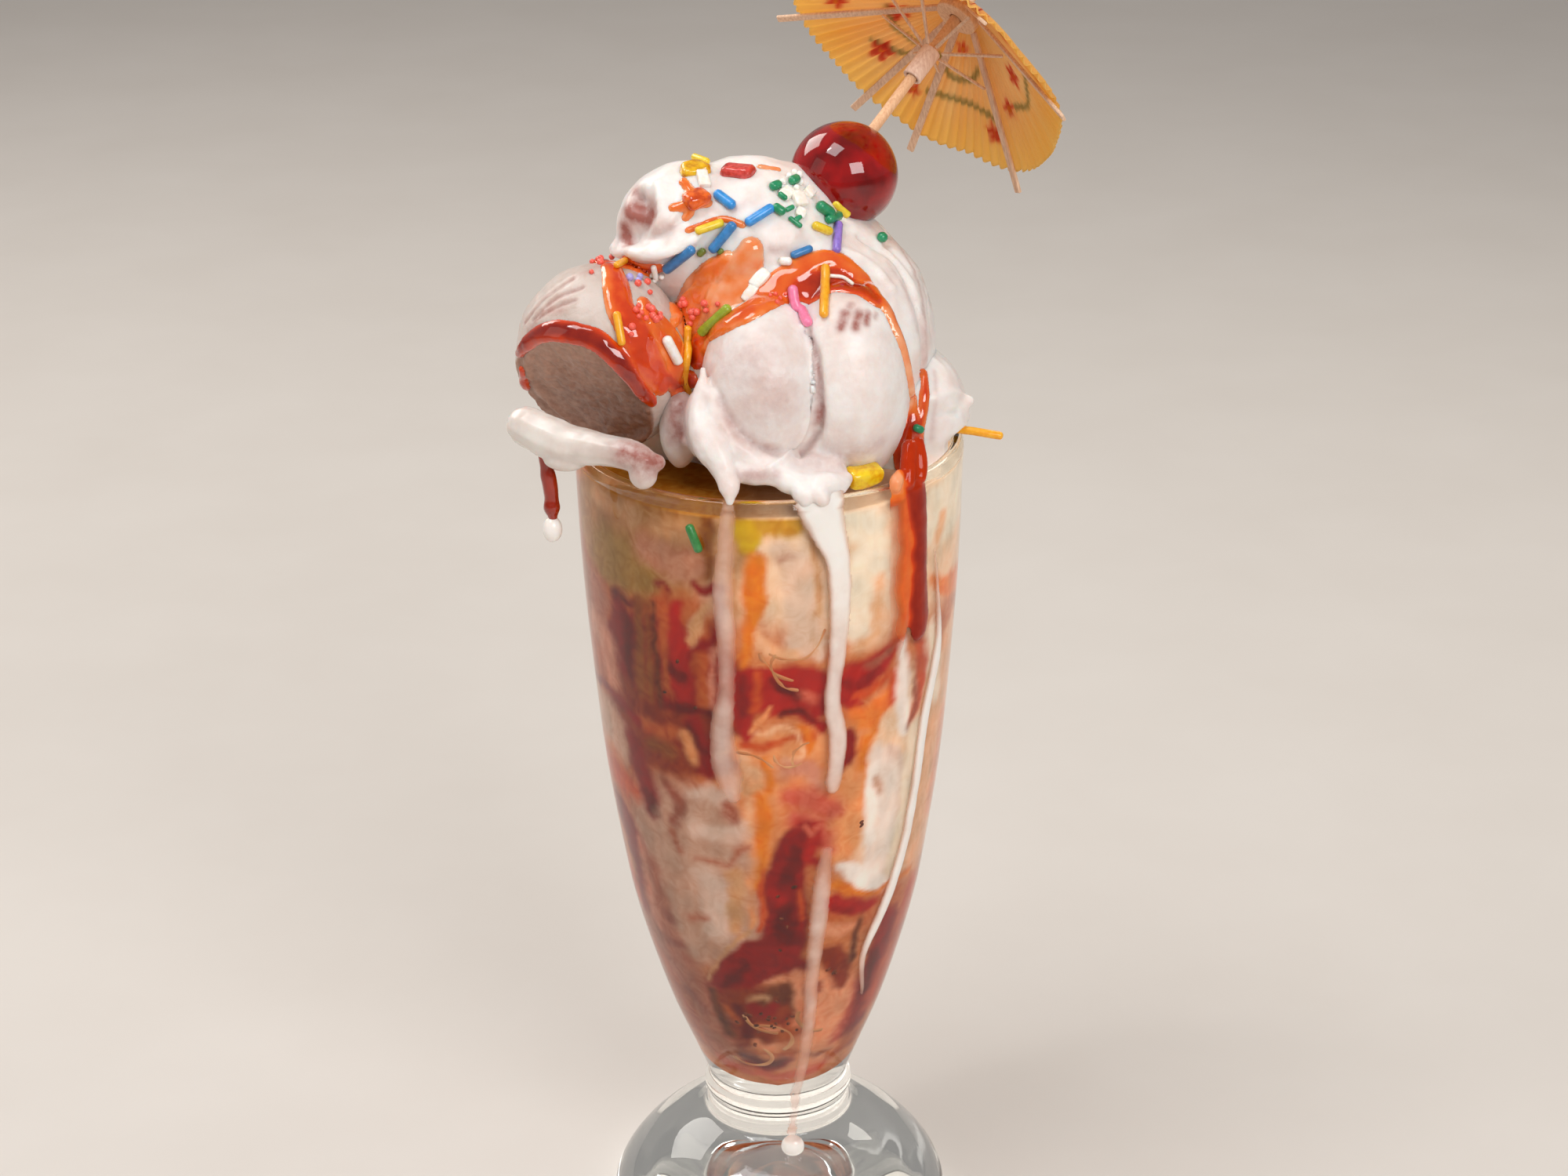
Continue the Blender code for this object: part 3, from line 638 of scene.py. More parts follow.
    ("salmon", 3, [(23, 64, 3.2), (31, 62, 4.6), (39, 61, 4), (38, 55, 3)]),
    ("pink_red", 3, [(43, 70, 1.2), (45.6, 62, 1.6), (44, 54, 2.0)]),
    ("mauve", 2, [(26, 49.2, 0.9), (34, 48.6, 1.0), (43, 49.2, 0.8)]),
    # the big scoop against the glass, left: pinkish white darkened by painted shade
    ("taupe", 4, [(-38, 118, 5), (-22, 118, 7), (-14, 110, 3)]),
    ("taupe", 4, [(-42, 103, 7), (-28, 100, 9), (-16, 98, 4)]),
    ("taupe", 4, [(-46, 86, 6), (-36, 84, 6), (-30, 84, 3)]),
    ("dusk", 4, [(-56, 100, 4), (-56, 88, 5), (-56, 76, 6)]),
    ("dusk", 5, [(-50, 70, 7), (-46, 60, 7), (-50, 50, 5)]),
    ("pale_taupe", 3, [(-30, 126, 1.4), (-22, 126.5, 2.6), (-15, 126, 1.6)]),
    ("pale_taupe", 3, [(-27, 117, 2.6), (-19, 116, 2.4), (-11, 118, 1.5)]),
    ("pale_taupe", 3.5, [(-27, 104, 3.2), (-24, 97, 3.6), (-26, 89, 2.6)]),
    ("tan", 2.5, [(-15, 106, 2.0), (-15, 98, 2.2), (-17, 91, 1.6)]),
    ("mauve", 2.5, [(-40, 127, 1.6), (-34, 122, 1.8), (-38, 117, 1.3)]),
    ("mauve", 2, [(-15.6, 124, 1.1), (-13.4, 120.6, 0.8), (-17, 121.6, 0.7)]),
    ("dusk", 1.6, [(-30, 109.4, 0.5), (-24, 109, 0.7), (-17, 108.6, 0.6), (-13, 112.4, 0.5),
                   (-9, 113.6, 0.6)]),
    ("dusk", 2, [(-37, 110, 0.9), (-40, 113.6, 1.1)]),
    ("mauve", 2.4, [(-50, 89, 1.6), (-46, 87.6, 0.9)]),
    ("mauve", 2.4, [(-52, 81, 1.4), (-44, 81, 0.9)]),
    ("dusk", 2.4, [(-36, 91, 0.9), (-30, 92.4, 0.6)]),
    ("mauve", 3, [(-52, 66, 2.4), (-44, 63, 1.8)]),
    ("pink", 3, [(-60, 106, 1.0), (-60, 96, 1.2), (-60, 84, 1.3)]),
    ("rust", 4, [(-80, 74, 6), (-70, 66, 6), (-64, 54, 4)]),
    # bottom: seeds and noodles in syrup
    ("chestnut", 2.5, [(-29, 67, 3.0), (-16, 67, 4.6), (-4, 68, 5.0), (7, 69, 4.4)]),
    ("chestnut", 2.5, [(-27, 58, 3), (-12, 58, 4), (4, 60, 3.4)]),
    ("bark", 2.6, [(-8, 68, 2.0), (1, 71, 3.0), (9, 71, 2.4), (11, 65, 1.6)]),
    ("tan", 1.6, [(-14, 69, 0.4), (-9, 70.4, 0.8), (-6, 69.6, 0.5)]),
    ("salmon", 1.4, [(-5, 75, 0.4), (3, 75.2, 0.5)]),
    ("rust", 2, [(-29, 65, 1.3), (-24, 64, 1.9), (-21.4, 61.6, 1.2)]),
    ("dark_red", 2, [(-20, 66, 1.4), (-16.6, 61, 1.6), (-19, 56.6, 1.2)]),
    ("deep_red", 2, [(-13, 67.6, 1.2), (-6, 65.4, 2.0), (-2, 68, 1.4)]),
    ("rust", 2.2, [(-9, 60.6, 1.0), (0, 59.4, 1.8), (7, 57, 2.0), (10, 62, 1.4)]),
    ("salmon", 1.4, [(-8, 60.4, 0.4), (-2, 59.2, 0.6), (2, 60, 0.5)]),
    ("salmon", 2, [(-13, 54.6, 0.9), (-8, 53.4, 1.2), (-3, 53.6, 0.9)]),
    ("bark", 2, [(-33, 69, 1.0), (-33.4, 62, 1.4), (-29, 57, 1.2)]),
    ("chestnut", 2, [(-24, 52.6, 1.3), (-20, 54, 1.0)]),
    ("salmon", 2, [(10, 77, 1.2), (12, 70, 1.4), (12.6, 61, 1.2)]),
    ("rust", 2, [(-28, 50.4, 0.9), (-8, 50.6, 1.0), (12, 51.4, 1.4)]),
    ("deep_red", 2, [(-26, 46.8, 1.4), (-10, 45.4, 2.0), (2, 46.6, 1.6), (9, 48.8, 1.0)]),
    ("dark_red", 2, [(-27, 50, 1.0), (-15, 47.6, 1.7), (-4, 47.2, 1.7), (6, 49, 0.8)]),
    ("pink_red", 3, [(-50, 45, 2), (-30, 43.6, 1.4), (0, 41.6, 1.4), (40, 44, 2)]),
    # dark right edge: red syrup, with painted shade towards the side
    ("deep_red", 3, [(52, 88, 2.0), (57, 84, 4.4), (55, 75, 5.0), (53, 65, 3.6), (57, 56, 3.6)]),
    ("dark_red", 2.5, [(47, 78, 1.0), (52, 75, 2.0), (52, 66, 1.6)]),
    ("ember", 4, [(72, 90, 4), (72, 78, 4), (68, 62, 4.4)]),
    ("rust", 4, [(62, 50, 4), (50, 47, 1.6)]),
    # yellow syrup under the rim, and the orange thread below it
    ("mango", 2, [(-9, 194.5, 2.6), (0, 194.5, 2.8), (10, 194.2, 2.2)]),
    ("yellow", 1.6, [(-7.2, 193, 2.6), (-6.6, 189.4, 2.6)]),
    ("orange", 1.8, [(-4.6, 185.6, 2.2), (-5, 179, 2.6), (-5.8, 173, 2.0), (-6.8, 168, 1.3),
                     (-7.4, 163, 1.0)]),
]
CURL_WIDTH = 4.0            # of the fine swirls in the milk
LIFT = 0.98                 # the wall takes this much of the light


def paint_filling(points):
    """The colour of the filling at each point of its outside."""
    x, y, z = points.T
    angle = np.degrees(np.arctan2(x, -y))
    radius = np.maximum(np.hypot(x, y), 1.0)
    behind = np.abs(angle) > 90
    turned_back = ramp(np.abs(angle), 90, 130)
    angle = np.where(behind, np.sign(angle) * (180 - np.abs(angle)), angle)
    height = z + 7.0 * turned_back
    across = angle * np.pi / 180 * radius
    across = across + 1.0 * waves(points, 8, 1) + 0.6 * waves(points, 3.0, 2) + 4 * turned_back
    height = height + 1.1 * waves(points, 8, 3) + 0.8 * waves(points, 3.0, 4)
    edge = 0.6 * waves(points, 3.4, 5) + 0.5 * waves(points, 1.5, 6)
    base = 0.5 + 0.5 * waves(points, 14, 7)
    colour = np.outer(1 - base, linear(FILLING["rust"])) + np.outer(base, linear(FILLING["peach"]))
    for name, soft, route in STROKES:
        path = smooth_path(route, 3) if len(route) > 2 else np.array(route, float)
        best = np.full(len(points), -1e9)
        for (a0, z0, w0), (a1, z1, w1) in zip(path, path[1:]):
            ax, bx = np.radians(a0) * radius, np.radians(a1) * radius
            dx, dz = bx - ax, z1 - z0
            share = ((across - ax) * dx + (height - z0) * dz) / np.maximum(dx * dx + dz * dz, 1e-6)
            share = np.clip(share, 0, 1)
            gap = np.hypot(across - ax - share * dx, height - z0 - share * dz)
            best = np.maximum(best, w0 + share * (w1 - w0) - gap)
        cover = ramp(best + edge * min(soft / 3, 1.0), -soft * 0.6, soft * 0.6)
        colour = colour + cover[:, None] * (np.array(linear(FILLING[name])) - colour)
    # streaks that ran down, and cloudier and clearer places
    streaks = waves(np.stack([across / 1.7, height / 6.0, radius * 0.0], 1), 1.0, 8)
    clouds = waves(points, 5.5, 9)
    colour *= (1 + 0.10 * streaks + 0.16 * clouds)[:, None]
    colour[:, 0] *= 1 + 0.05 * clouds
    return np.clip(colour * LIFT, 0.0, 0.93)


def filling_material():
    """Melted ice cream, rose syrup and milk pressed wet against the glass, full of fine curls and flecks."""
    material, tree, shader, where = new_material(
        "melted ice cream and rose syrup", Roughness=0.6, IOR=1.38, Specular_IOR_Level=0.0)
    paint = add_node(tree, "Attribute", attribute_name="paint").outputs["Color"]
    curls = add_node(tree, "TexNoise", {"Vector": where, "Scale": 1000.0 / CURL_WIDTH, "Detail": 4.0,
                                        "Distortion": 1.6})
    flecks = spread(tree, speckle(tree, where, 1.3, 4.0), 0.55, 0.75)
    darker = add_node(tree, "Gamma", {"Color": paint, "Gamma": 1.14}).outputs["Color"]
    lighter = add_node(tree, "Gamma", {"Color": paint, "Gamma": 0.93}).outputs["Color"]
    colour = blend(tree, spread(tree, curls.outputs["Fac"], 0.38, 0.64), lighter, darker)
    half = spread(tree, flecks, 0.0, 1.0, 0.0, 0.3)
    tree.links.new(blend(tree, half, colour, darker), shader.inputs["Base Color"])
    bumps(tree, shader, speckle(tree, where, 2.5), 0.15, 0.4)
    return material


def make_filling():
    inside = [(r + WALL_BITE, z) for r, z in curved_outline(GLASS_INSIDE, 12) if z < FILL_LEVEL]
    wall = [(float(np.interp(z, [p[1] for p in inside[::-1]], [p[0] for p in inside[::-1]])), z)
            for z in np.arange(FILL_LEVEL - 0.4, inside[-1][1] + 6, -0.7)]
    low = [p for p in inside if p[1] < wall[-1][1] - 0.3][:-1]
    top = [(r, FILL_LEVEL) for r in np.arange(0.0, 40.0, 4.0)]
    top += [(40.2, FILL_LEVEL + 0.1), (wall[0][0], FILL_LEVEL + 0.5)]
    bottom = (0.0, inside[-1][1] - WALL_BITE)
    piece = turned([*top, *wall, *low, bottom], FILLING_STEPS)
    points = points_of(piece)
    colour = paint_filling(points)
    # the top: dark clear jelly at the left, milk and orange syrup at the right
    upper = ramp(points[:, 2], FILL_LEVEL - 0.3, FILL_LEVEL)
    side = ramp(points[:, 0] + 5 * waves(points, 9, 15), -14, 16)
    pool = np.outer(1 - side, linear("A86A22")) + np.outer(side, linear("EBC7A4"))
    colour += upper[:, None] * (pool - colour)
    give_values(piece, "paint", colour)
    nodes = ["syrup_base", "lower_ice_cream", "noodle_layer", "syrup_band", "upper_ice_cream",
             "jelly_layer"]
    finish(piece, "glass_filling", filling_material(), nodes)
    return piece


# ---- ice cream -------------------------------------------------------------------------------
MOUND = [
    ((5, 7, 218), (33.5, 32, 35)), ((-3, 5, 244), (21, 20, 18.5)), ((-18, 3, 246.5), (15, 15, 16)),
    ((-17, 10, 213), (22, 22, 26)),
]
LOBES = [((-0.5, -20, 219), (14, 18.3, 19.5)), ((17.0, -16.6, 217.6), (14.6, 18.8, 23)),
         ((9, -14, 209), (20, 18.5, 15)), ((-15, -26, 212), (3.6, 6, 8)),
         ((-19.6, -21, 209), (4.4, 6, 9.0)), ((-17.9, -27.2, 208.3), (1.4, 1.4, 1.4))]
# The soft skirt squeezed out under the front scoop, as rolls of (x, z, depth y, radius).
SKIRT = [
    # the fold that hangs at the left and runs out over the rim
    [(-14.6, 215, -29, 0.9), (-14.9, 209.5, -31, 1.8), (-15.2, 204.5, -33, 2.9), (-14.2, 200, -35, 3.9),
     (-12.2, 195.6, -37, 4.2), (-10.6, 191.6, -39, 3.2), (-9.4, 188.4, -41, 2.6), (-9.0, 186.4, -42.2, 2.4),
     (-8.9, 184.8, -43.2, 1.7), (-8.9, 183.6, -43.8, 1.0)],
    [(-13.2, 209, -32, 1.8), (-11, 201.5, -34.5, 3.0), (-7.4, 196, -36, 3.2), (-3.4, 193.4, -36.6, 3.0),
     (0.4, 191.8, -37, 2.6)],
    [(-9, 191, -38, 2.8), (-4.5, 190.2, -38.4, 2.7), (0, 190, -38.8, 2.6), (4, 189.2, -39, 2.5)],
    # what fills the space between the lobes and the rim
    [(-12, 197, -31, 4.2), (-6, 193.5, -33, 4.2), (0, 192, -34, 4.2), (8, 190.6, -34.5, 4.2),
     (14, 190.4, -33.5, 3.8)],
    # the roll that rests on the rim at the right, with two laps down over the edge
    [(1.8, 189.6, -39, 2.4), (4.5, 188.4, -39.4, 2.8), (8, 187.2, -39.6, 3.0), (12, 186.8, -39.4, 3.1),
     (15.2, 187.2, -38, 2.6), (17.4, 188.8, -35.8, 1.7)],
    [(7.0, 187, -40.4, 2.6), (7.6, 185, -42.2, 2.5), (8.2, 183.8, -43.0, 1.9)],
    [(10.8, 186.6, -40.4, 2.8), (11.3, 184.8, -42.0, 2.7), (11.8, 183.8, -42.8, 2.0)],
]
LEFT_SCOOP = ((-36.5, -12, 222.5), (19, 19, 21.5))
SCOOP_FACE = (-38.0, -22.0, 218.8), Vector((-0.424, -0.754, -0.500)).normalized()
LIP_RADIUS, LIP_WIDTH = 16.2, 1.1          # the raised lip round that face
RIGHT_SCOOP = [((31, 2, 201.5), (14.5, 16, 19)), ((39.5, -1, 206), (5.0, 5.5, 5.0)),
               ((43.2, -2, 207.0), (2.4, 2.6, 2.2)), ((45.3, -2, 207.4), (1.0, 1.1, 0.9))]
# The roll of melted cream over the rim, as (x, z, depth y, radius), and what sags from it.
CREAM_RUN = [(-54.4, 202, -25, 4.7), (-50, 199.8, -27, 5.1), (-45.5, 197.6, -29, 4.8), (-41, 197, -31, 4.1),
             (-36, 196, -33, 3.7), (-31.5, 194.8, -35, 3.5), (-28, 193.4, -36.4, 3.1),
             (-25.6, 193, -36.4, 2.0)]
RUN_DROPS = [((-28.6, 190, -37.5), (3.2, 2.2, 3.2)), ((-46, 194, -30), (5, 3, 2.6))]
BED = FILL_LEVEL - 0.6      # the heap sinks this far into what is in the glass


def cream_material(name, gloss, grain, pale="F5EFEB", pink="EADAD3", face=None):
    """Rose ice cream: milk fat and tiny ice grains, cloudy a few millimetres deep, wet where it melts."""
    material, tree, shader, where = new_material(
        name, Roughness=gloss, IOR=1.36, Subsurface_Weight=0.7, Subsurface_Scale=0.0022,
        Subsurface_Radius=(1.0, 0.62, 0.5), Coat_Weight=0.25, Coat_Roughness=0.25)
    lumps = spread(tree, speckle(tree, where, 9.0, 4.0), 0.42, 0.68)
    colour = blend(tree, lumps, rgba(pale), rgba(pink))
    stain_and_shade = add_node(tree, "Attribute", attribute_name="stain_and_shade").outputs["Fac"]
    streaks = speckle(tree, where, 2.2, 4.0)
    depth = add_node(tree, "Math", {0: stain_and_shade, 1: spread(tree, streaks, 0.3, 0.7, 0.6, 1.2)},
                     operation="MULTIPLY", use_clamp=True).outputs[0]
    # the marks' colour: pink-brown stains, and painted shade in hollows, grooves and low on the scoops
    colour = blend(tree, depth, colour, rgba("A86A60"))
    if face:
        cut = add_node(tree, "Attribute", attribute_name="cut").outputs["Fac"]
        deep = add_node(tree, "Attribute", attribute_name="deep").outputs["Fac"]
        grains = spread(tree, speckle(tree, where, 1.4, 5.0), 0.35, 0.65, 0.0, 0.35)
        browner = add_node(tree, "Math", {0: grains, 1: deep}, operation="ADD", use_clamp=True).outputs[0]
        grainy = blend(tree, browner, rgba(face[0]), rgba(face[1]))
        colour = blend(tree, cut, colour, grainy)
    tree.links.new(colour, shader.inputs["Base Color"])
    bumps(tree, shader, speckle(tree, where, 0.8, 5.0), grain, 0.6)
    return material


def stained_and_shaded(piece, tree, marks, name="stain_and_shade"):
    """Where a piece carries pink-brown stains and painted shade, from marks of (strength, route of (x, z,
    half width)).
    """
    points = points_of(piece)
    amount = np.zeros(len(points))
    for strength, route in marks:
        gap, width = off_trail(points, trail(tree, route))
        amount = np.maximum(amount, strength * np.exp(-(gap / np.maximum(width[:, 0], 0.1)) ** 2))
    give_values(piece, name, amount)


def make_mound():
    piece = fused([ball(*one) for one in MOUND], "heap", 0.8, 8)
    cut_flat(piece, (0, 0, BED), (0, 0, -1))
    tree = surface_tree([piece])
    swell(piece, 13.0, 0.9, 1)
    # long soft folds where the cream slides down on the right
    press(piece, tree, [(21, 246, 1.1), (27, 242, 1.1), (31.5, 235, 1.1), (34, 226, 1.1), (35, 214, 1.0),
                        (35.3, 200, 1.0)], 1.0)
    press(piece, tree, [(26, 248, 0.9), (32, 242, 0.9), (35.3, 234, 0.9), (36.6, 224, 0.9)], 0.8)
    press(piece, tree, [(16, 243, 1.0), (23, 240, 1.0), (28, 234, 1.0)], -0.7)
    # the hollow and the standing edge of the top left knob
    press(piece, tree, [(-28.6, 256.6, 1.6), (-27.6, 251.6, 4.0), (-30.4, 246.6, 2.8)], 3.0)
    press(piece, tree, [(-34.6, 244, 1.5), (-29.9, 242.8, 1.6), (-24, 242.6, 1.6), (-19.5, 243.6, 1.6),
                        (-16, 246, 1.6), (-12.4, 249.2, 1.3)], -2.4)
    press(piece, tree, [(-31.6, 247.4, 1.2), (-26, 246.6, 1.4), (-21.0, 248.2, 1.4), (-17.6, 251.6, 1.2)],
          1.2)
    press(piece, tree, [(-23.6, 259, 1.2), (-23.8, 253, 1.3), (-24.6, 248.5, 1.0)], -1.1)
    press(piece, tree, [(-31, 238, 2.5), (-24, 239, 2.5), (-18, 242.5, 2.0)], 1.2)
    press(piece, tree, [(-19, 262, 2.0), (-20, 254, 2.0), (-17, 249, 2.0)], 0.8)
    swell(piece, 4.0, 0.28, 2)
    swell(piece, 1.7, 0.10, 3)
    tree = surface_tree([piece])
    # marks: painted shade in the knob's hollow, pink lines with painted shade down the folds at the right,
    # and a few faint pink marks
    stained_and_shaded(piece, tree, [
        (1.30, [(-29.4, 252.6, 3.0), (-26.2, 251.4, 3.2)]),
        (1.10, [(-31.2, 248.8, 2.0), (-30.4, 245, 2.0)]),
        (0.80, [(-28.6, 257, 1.5), (-27.2, 255.2, 1.3)]),
        (0.35, [(-25, 247.4, 1.6), (-20.6, 249, 1.6)]),
        (0.45, [(30, 243, 0.5), (33.5, 236, 0.6), (35.3, 226, 0.7), (35.6, 212, 0.8), (35.6, 196, 1.0)]),
        (0.30, [(27, 240, 0.6), (31, 233, 0.6), (33.5, 224, 0.8)]),
        (0.30, [(-22, 236, 3.0), (-24, 228, 2.0)]),
        (0.35, [(1, 243.5, 1.2), (4.5, 242.5, 1.5)]),
        (0.25, [(-8, 252, 1.5), (-4, 254.5, 1.2)]),
        (0.35, [(35, 190, 2.0), (36, 197, 1.6)]),
        (0.40, [(34.6, 229, 0.7), (34.9, 222, 0.9), (35.2, 216, 1.0)]),
    ])
    material = cream_material("soft rose ice cream", 0.38, 0.10)
    return finish(piece, "heap_of_ice_cream", material, ["ice_cream_mound"])


def make_front_scoop():
    skirt = [sighted_tube(route) for route in SKIRT]
    piece = fused([*[ball(*lobe, segments=96, rings=64) for lobe in LOBES], *skirt], "front", 0.45, 6)
    cut_flat(piece, (0, 0, BED), (0, 0, -1))
    tree = surface_tree([piece])
    points = points_of(piece)
    rough = np.zeros(len(points))
    for route in SKIRT:
        gap, _ = off_trail(points, np.array([(*sighted(x, z, y), r) for x, z, y, r in route]))
        rough = np.maximum(rough, 1 - ramp(gap, 3.5, 6.0))
    swell(piece, 4.5, 0.5, 4, rough)
    swell(piece, 1.8, 0.14, 5, rough)
    swell(piece, 9.0, 0.35, 6)
    swell(piece, 1.1, 0.09, 7, 1 - rough)
    # the scoop's edge left a fine lip down the left lobe, and a groove where the right one starts
    press(piece, tree, [(8, 225, 0.7), (9.5, 222, 0.7), (9.9, 215, 0.8), (9.8, 208, 0.8), (8.5, 202, 0.8),
                        (6, 197, 0.8), (3, 193.5, 0.7), (0, 191.5, 0.6)], -0.75)
    press(piece, tree, [(9, 224, 0.9), (10.6, 219, 1.1), (11.2, 213, 1.2), (11.6, 205, 1.4), (11, 200, 1.3),
                        (9.5, 197, 1.1), (7, 194.6, 0.9)], 1.6)
    tree = surface_tree([piece])
    # marks: pink-grey blotches on the right lobe, and painted shade in the groove between the lobes, low on
    # both lobes and in the hollow at the left
    stained_and_shaded(piece, tree, [
        (1.0, [(16.4, 224.8, 1.1), (17.4, 228, 1.4)]), (1.0, [(19.8, 224.8, 1.1), (20.6, 228, 1.3)]),
        (0.9, [(22.0, 225.8, 1.0), (22.6, 228, 1.1)]), (0.6, [(18.4, 229.6, 1.0), (18.8, 230.2, 1.0)]),
        (0.5, [(24, 227, 0.8), (24.4, 228, 0.7)]),
        (0.42, [(10, 233.5, 3.0), (17, 234.0, 3.0), (24, 231.5, 2.5)]),
        (0.75, [(9.4, 224, 0.8), (10.8, 219, 1.0), (11.4, 213, 1.2), (11.8, 207, 1.4)]),
        (1.00, [(11.9, 206, 1.5), (11.6, 202.5, 1.6)]),
        (0.50, [(11.2, 200, 1.2), (9.5, 197, 1.1), (7, 194.6, 1.0)]),
        (0.45, [(-10.6, 208, 1.6), (-8, 201.6, 2.6), (-3.6, 197.4, 2.6), (1, 195.6, 2.0)]),
        (0.35, [(6, 193.4, 2.6), (12, 193, 4), (19, 194, 4), (25, 197, 2.6)]),
        (0.30, [(-4, 216, 10), (0, 208, 10)]),
        (0.50, [(-6.5, 189.6, 1.6), (1, 189.8, 1.6)]),
        (0.85, [(-20.8, 207, 3.4), (-20.6, 200, 3.4)]),
    ])
    material = cream_material("hard scooped rose ice cream", 0.5, 0.16)
    return finish(piece, "front_scoop_lobes", material, ["front_scoop"])


def make_left_scoop():
    piece = ball(*LEFT_SCOOP, segments=96, rings=64)
    cut_flat(piece, *SCOOP_FACE)
    piece = fused([piece], "left", 0.5, 5)
    tree = surface_tree([piece])
    points = points_of(piece)
    arm = points - np.array(SCOOP_FACE[0])
    depth = arm @ np.array(SCOOP_FACE[1])
    cut = ramp(depth, -0.9, -0.2)
    off_centre = np.linalg.norm(arm - np.outer(depth, SCOOP_FACE[1]), axis=1)
    swell(piece, 8.0, 0.6, 8)
    swell(piece, 2.2, 0.45, 9, cut)
    swell(piece, 1.0, 0.22, 10, cut)
    swell(piece, 1.6, 0.10, 11, 1 - cut)
    # a raised lip round the cut face and drag lines over the cap
    points = points_of(piece)
    lip = np.exp(-((off_centre - LIP_RADIUS) / LIP_WIDTH) ** 2) * cut
    place_points(piece, points + normals_of(piece) * (0.7 * lip)[:, None])
    lines = [[(-54, 227, 0.6), (-50, 232.5, 0.7), (-43, 237, 0.6)],
             [(-52.5, 227.5, 0.6), (-47, 232.5, 0.8), (-41, 235, 0.6)],
             [(-51, 228, 0.6), (-46, 231, 0.8), (-43, 232, 0.6)]]
    for line in lines:
        press(piece, tree, line, 0.35)
    marks = [(0.75, line) for line in lines]
    marks += [(0.5, [(-53.5, 225, 1.2), (-50, 229.5, 1.4), (-46, 230, 1.2)]),
              (0.3, [(-38, 239.5, 1.5), (-42, 237.6, 1.0)])]
    stained_and_shaded(piece, tree, marks)
    give_values(piece, "cut", cut)
    # the face is paler where it is high and brown towards the glass
    fall = (points - np.array(SCOOP_FACE[0])) @ np.array((0.62, 0.0, -0.78))
    give_values(piece, "deep", np.clip(0.35 + fall / 32 + 0.18 * waves(points, 4, 16), 0, 0.85))
    material = cream_material("rose ice cream with a cut face", 0.45, 0.25, pale="D6C7BE", pink="C4AFA3",
                              face=("BA927E", "7E5644"))
    return finish(piece, "left_scoop_cut", material, ["left_scoop"])


def make_right_scoop():
    piece = fused([ball(*one) for one in RIGHT_SCOOP], "right", 0.5, 5)
    cut_flat(piece, (0, 0, BED), (0, 0, -1))
    keep_in_rim(piece)
    tree = surface_tree([piece])
    swell(piece, 7.0, 0.6, 12)
    press(piece, tree, [(38, 208, 1.4), (42.5, 209.2, 1.0), (45.5, 207.6, 0.8)], -0.6)
    press(piece, tree, [(39, 204, 1.2), (43, 204.6, 0.8)], 0.6)
    swell(piece, 2.5, 0.16, 13)
    stained_and_shaded(piece, tree, [(0.3, [(37.5, 214, 0.7), (37.6, 207, 0.7), (36.8, 198, 1.0)]),
                          (0.35, [(38, 190, 1.5), (41, 193, 1.2)])])
    material = cream_material("melting rose ice cream", 0.34, 0.10)
    return finish(piece, "right_scoop_point", material, ["right_scoop"])


def keep_in_rim(piece):
    """Draw in what would stand in the wall of the glass, below the rim."""
    points = points_of(piece)
    reach = np.hypot(points[:, 0], points[:, 1])
    below = 1 - ramp(points[:, 2], RIM_TOP, RIM_TOP + 3.0)
    limit = 40.8
    share = np.where(reach > limit, limit / np.maximum(reach, 1e-6), 1.0)
    share = 1 + (share - 1) * below
    points[:, 0] *= share
    points[:, 1] *= share
    place_points(piece, points)


def make_cream_run():
    """A thick roll of melted cream that slid out over the rim and hangs there."""
    drops = [ball(sighted(*place), radii, segments=32, rings=20) for place, radii in RUN_DROPS]
    piece = fused([sighted_tube(CREAM_RUN), *drops], "run", 0.45, 5)
    swell(piece, 6.0, 0.5, 14)
    swell(piece, 2.4, 0.10, 15)
    tree = surface_tree([piece])
    # painted shade darkening the roll towards its right end
    stained_and_shaded(piece, tree, [(0.95, [(-32, 195.6, 4), (-28, 193.6, 5), (-25.5, 193, 4)])])
    material = cream_material("melted cream", 0.22, 0.03, pale="EBE4DD", pink="DACCC3")
    return finish(piece, "melted_cream_roll", material, ["cream_drip"])


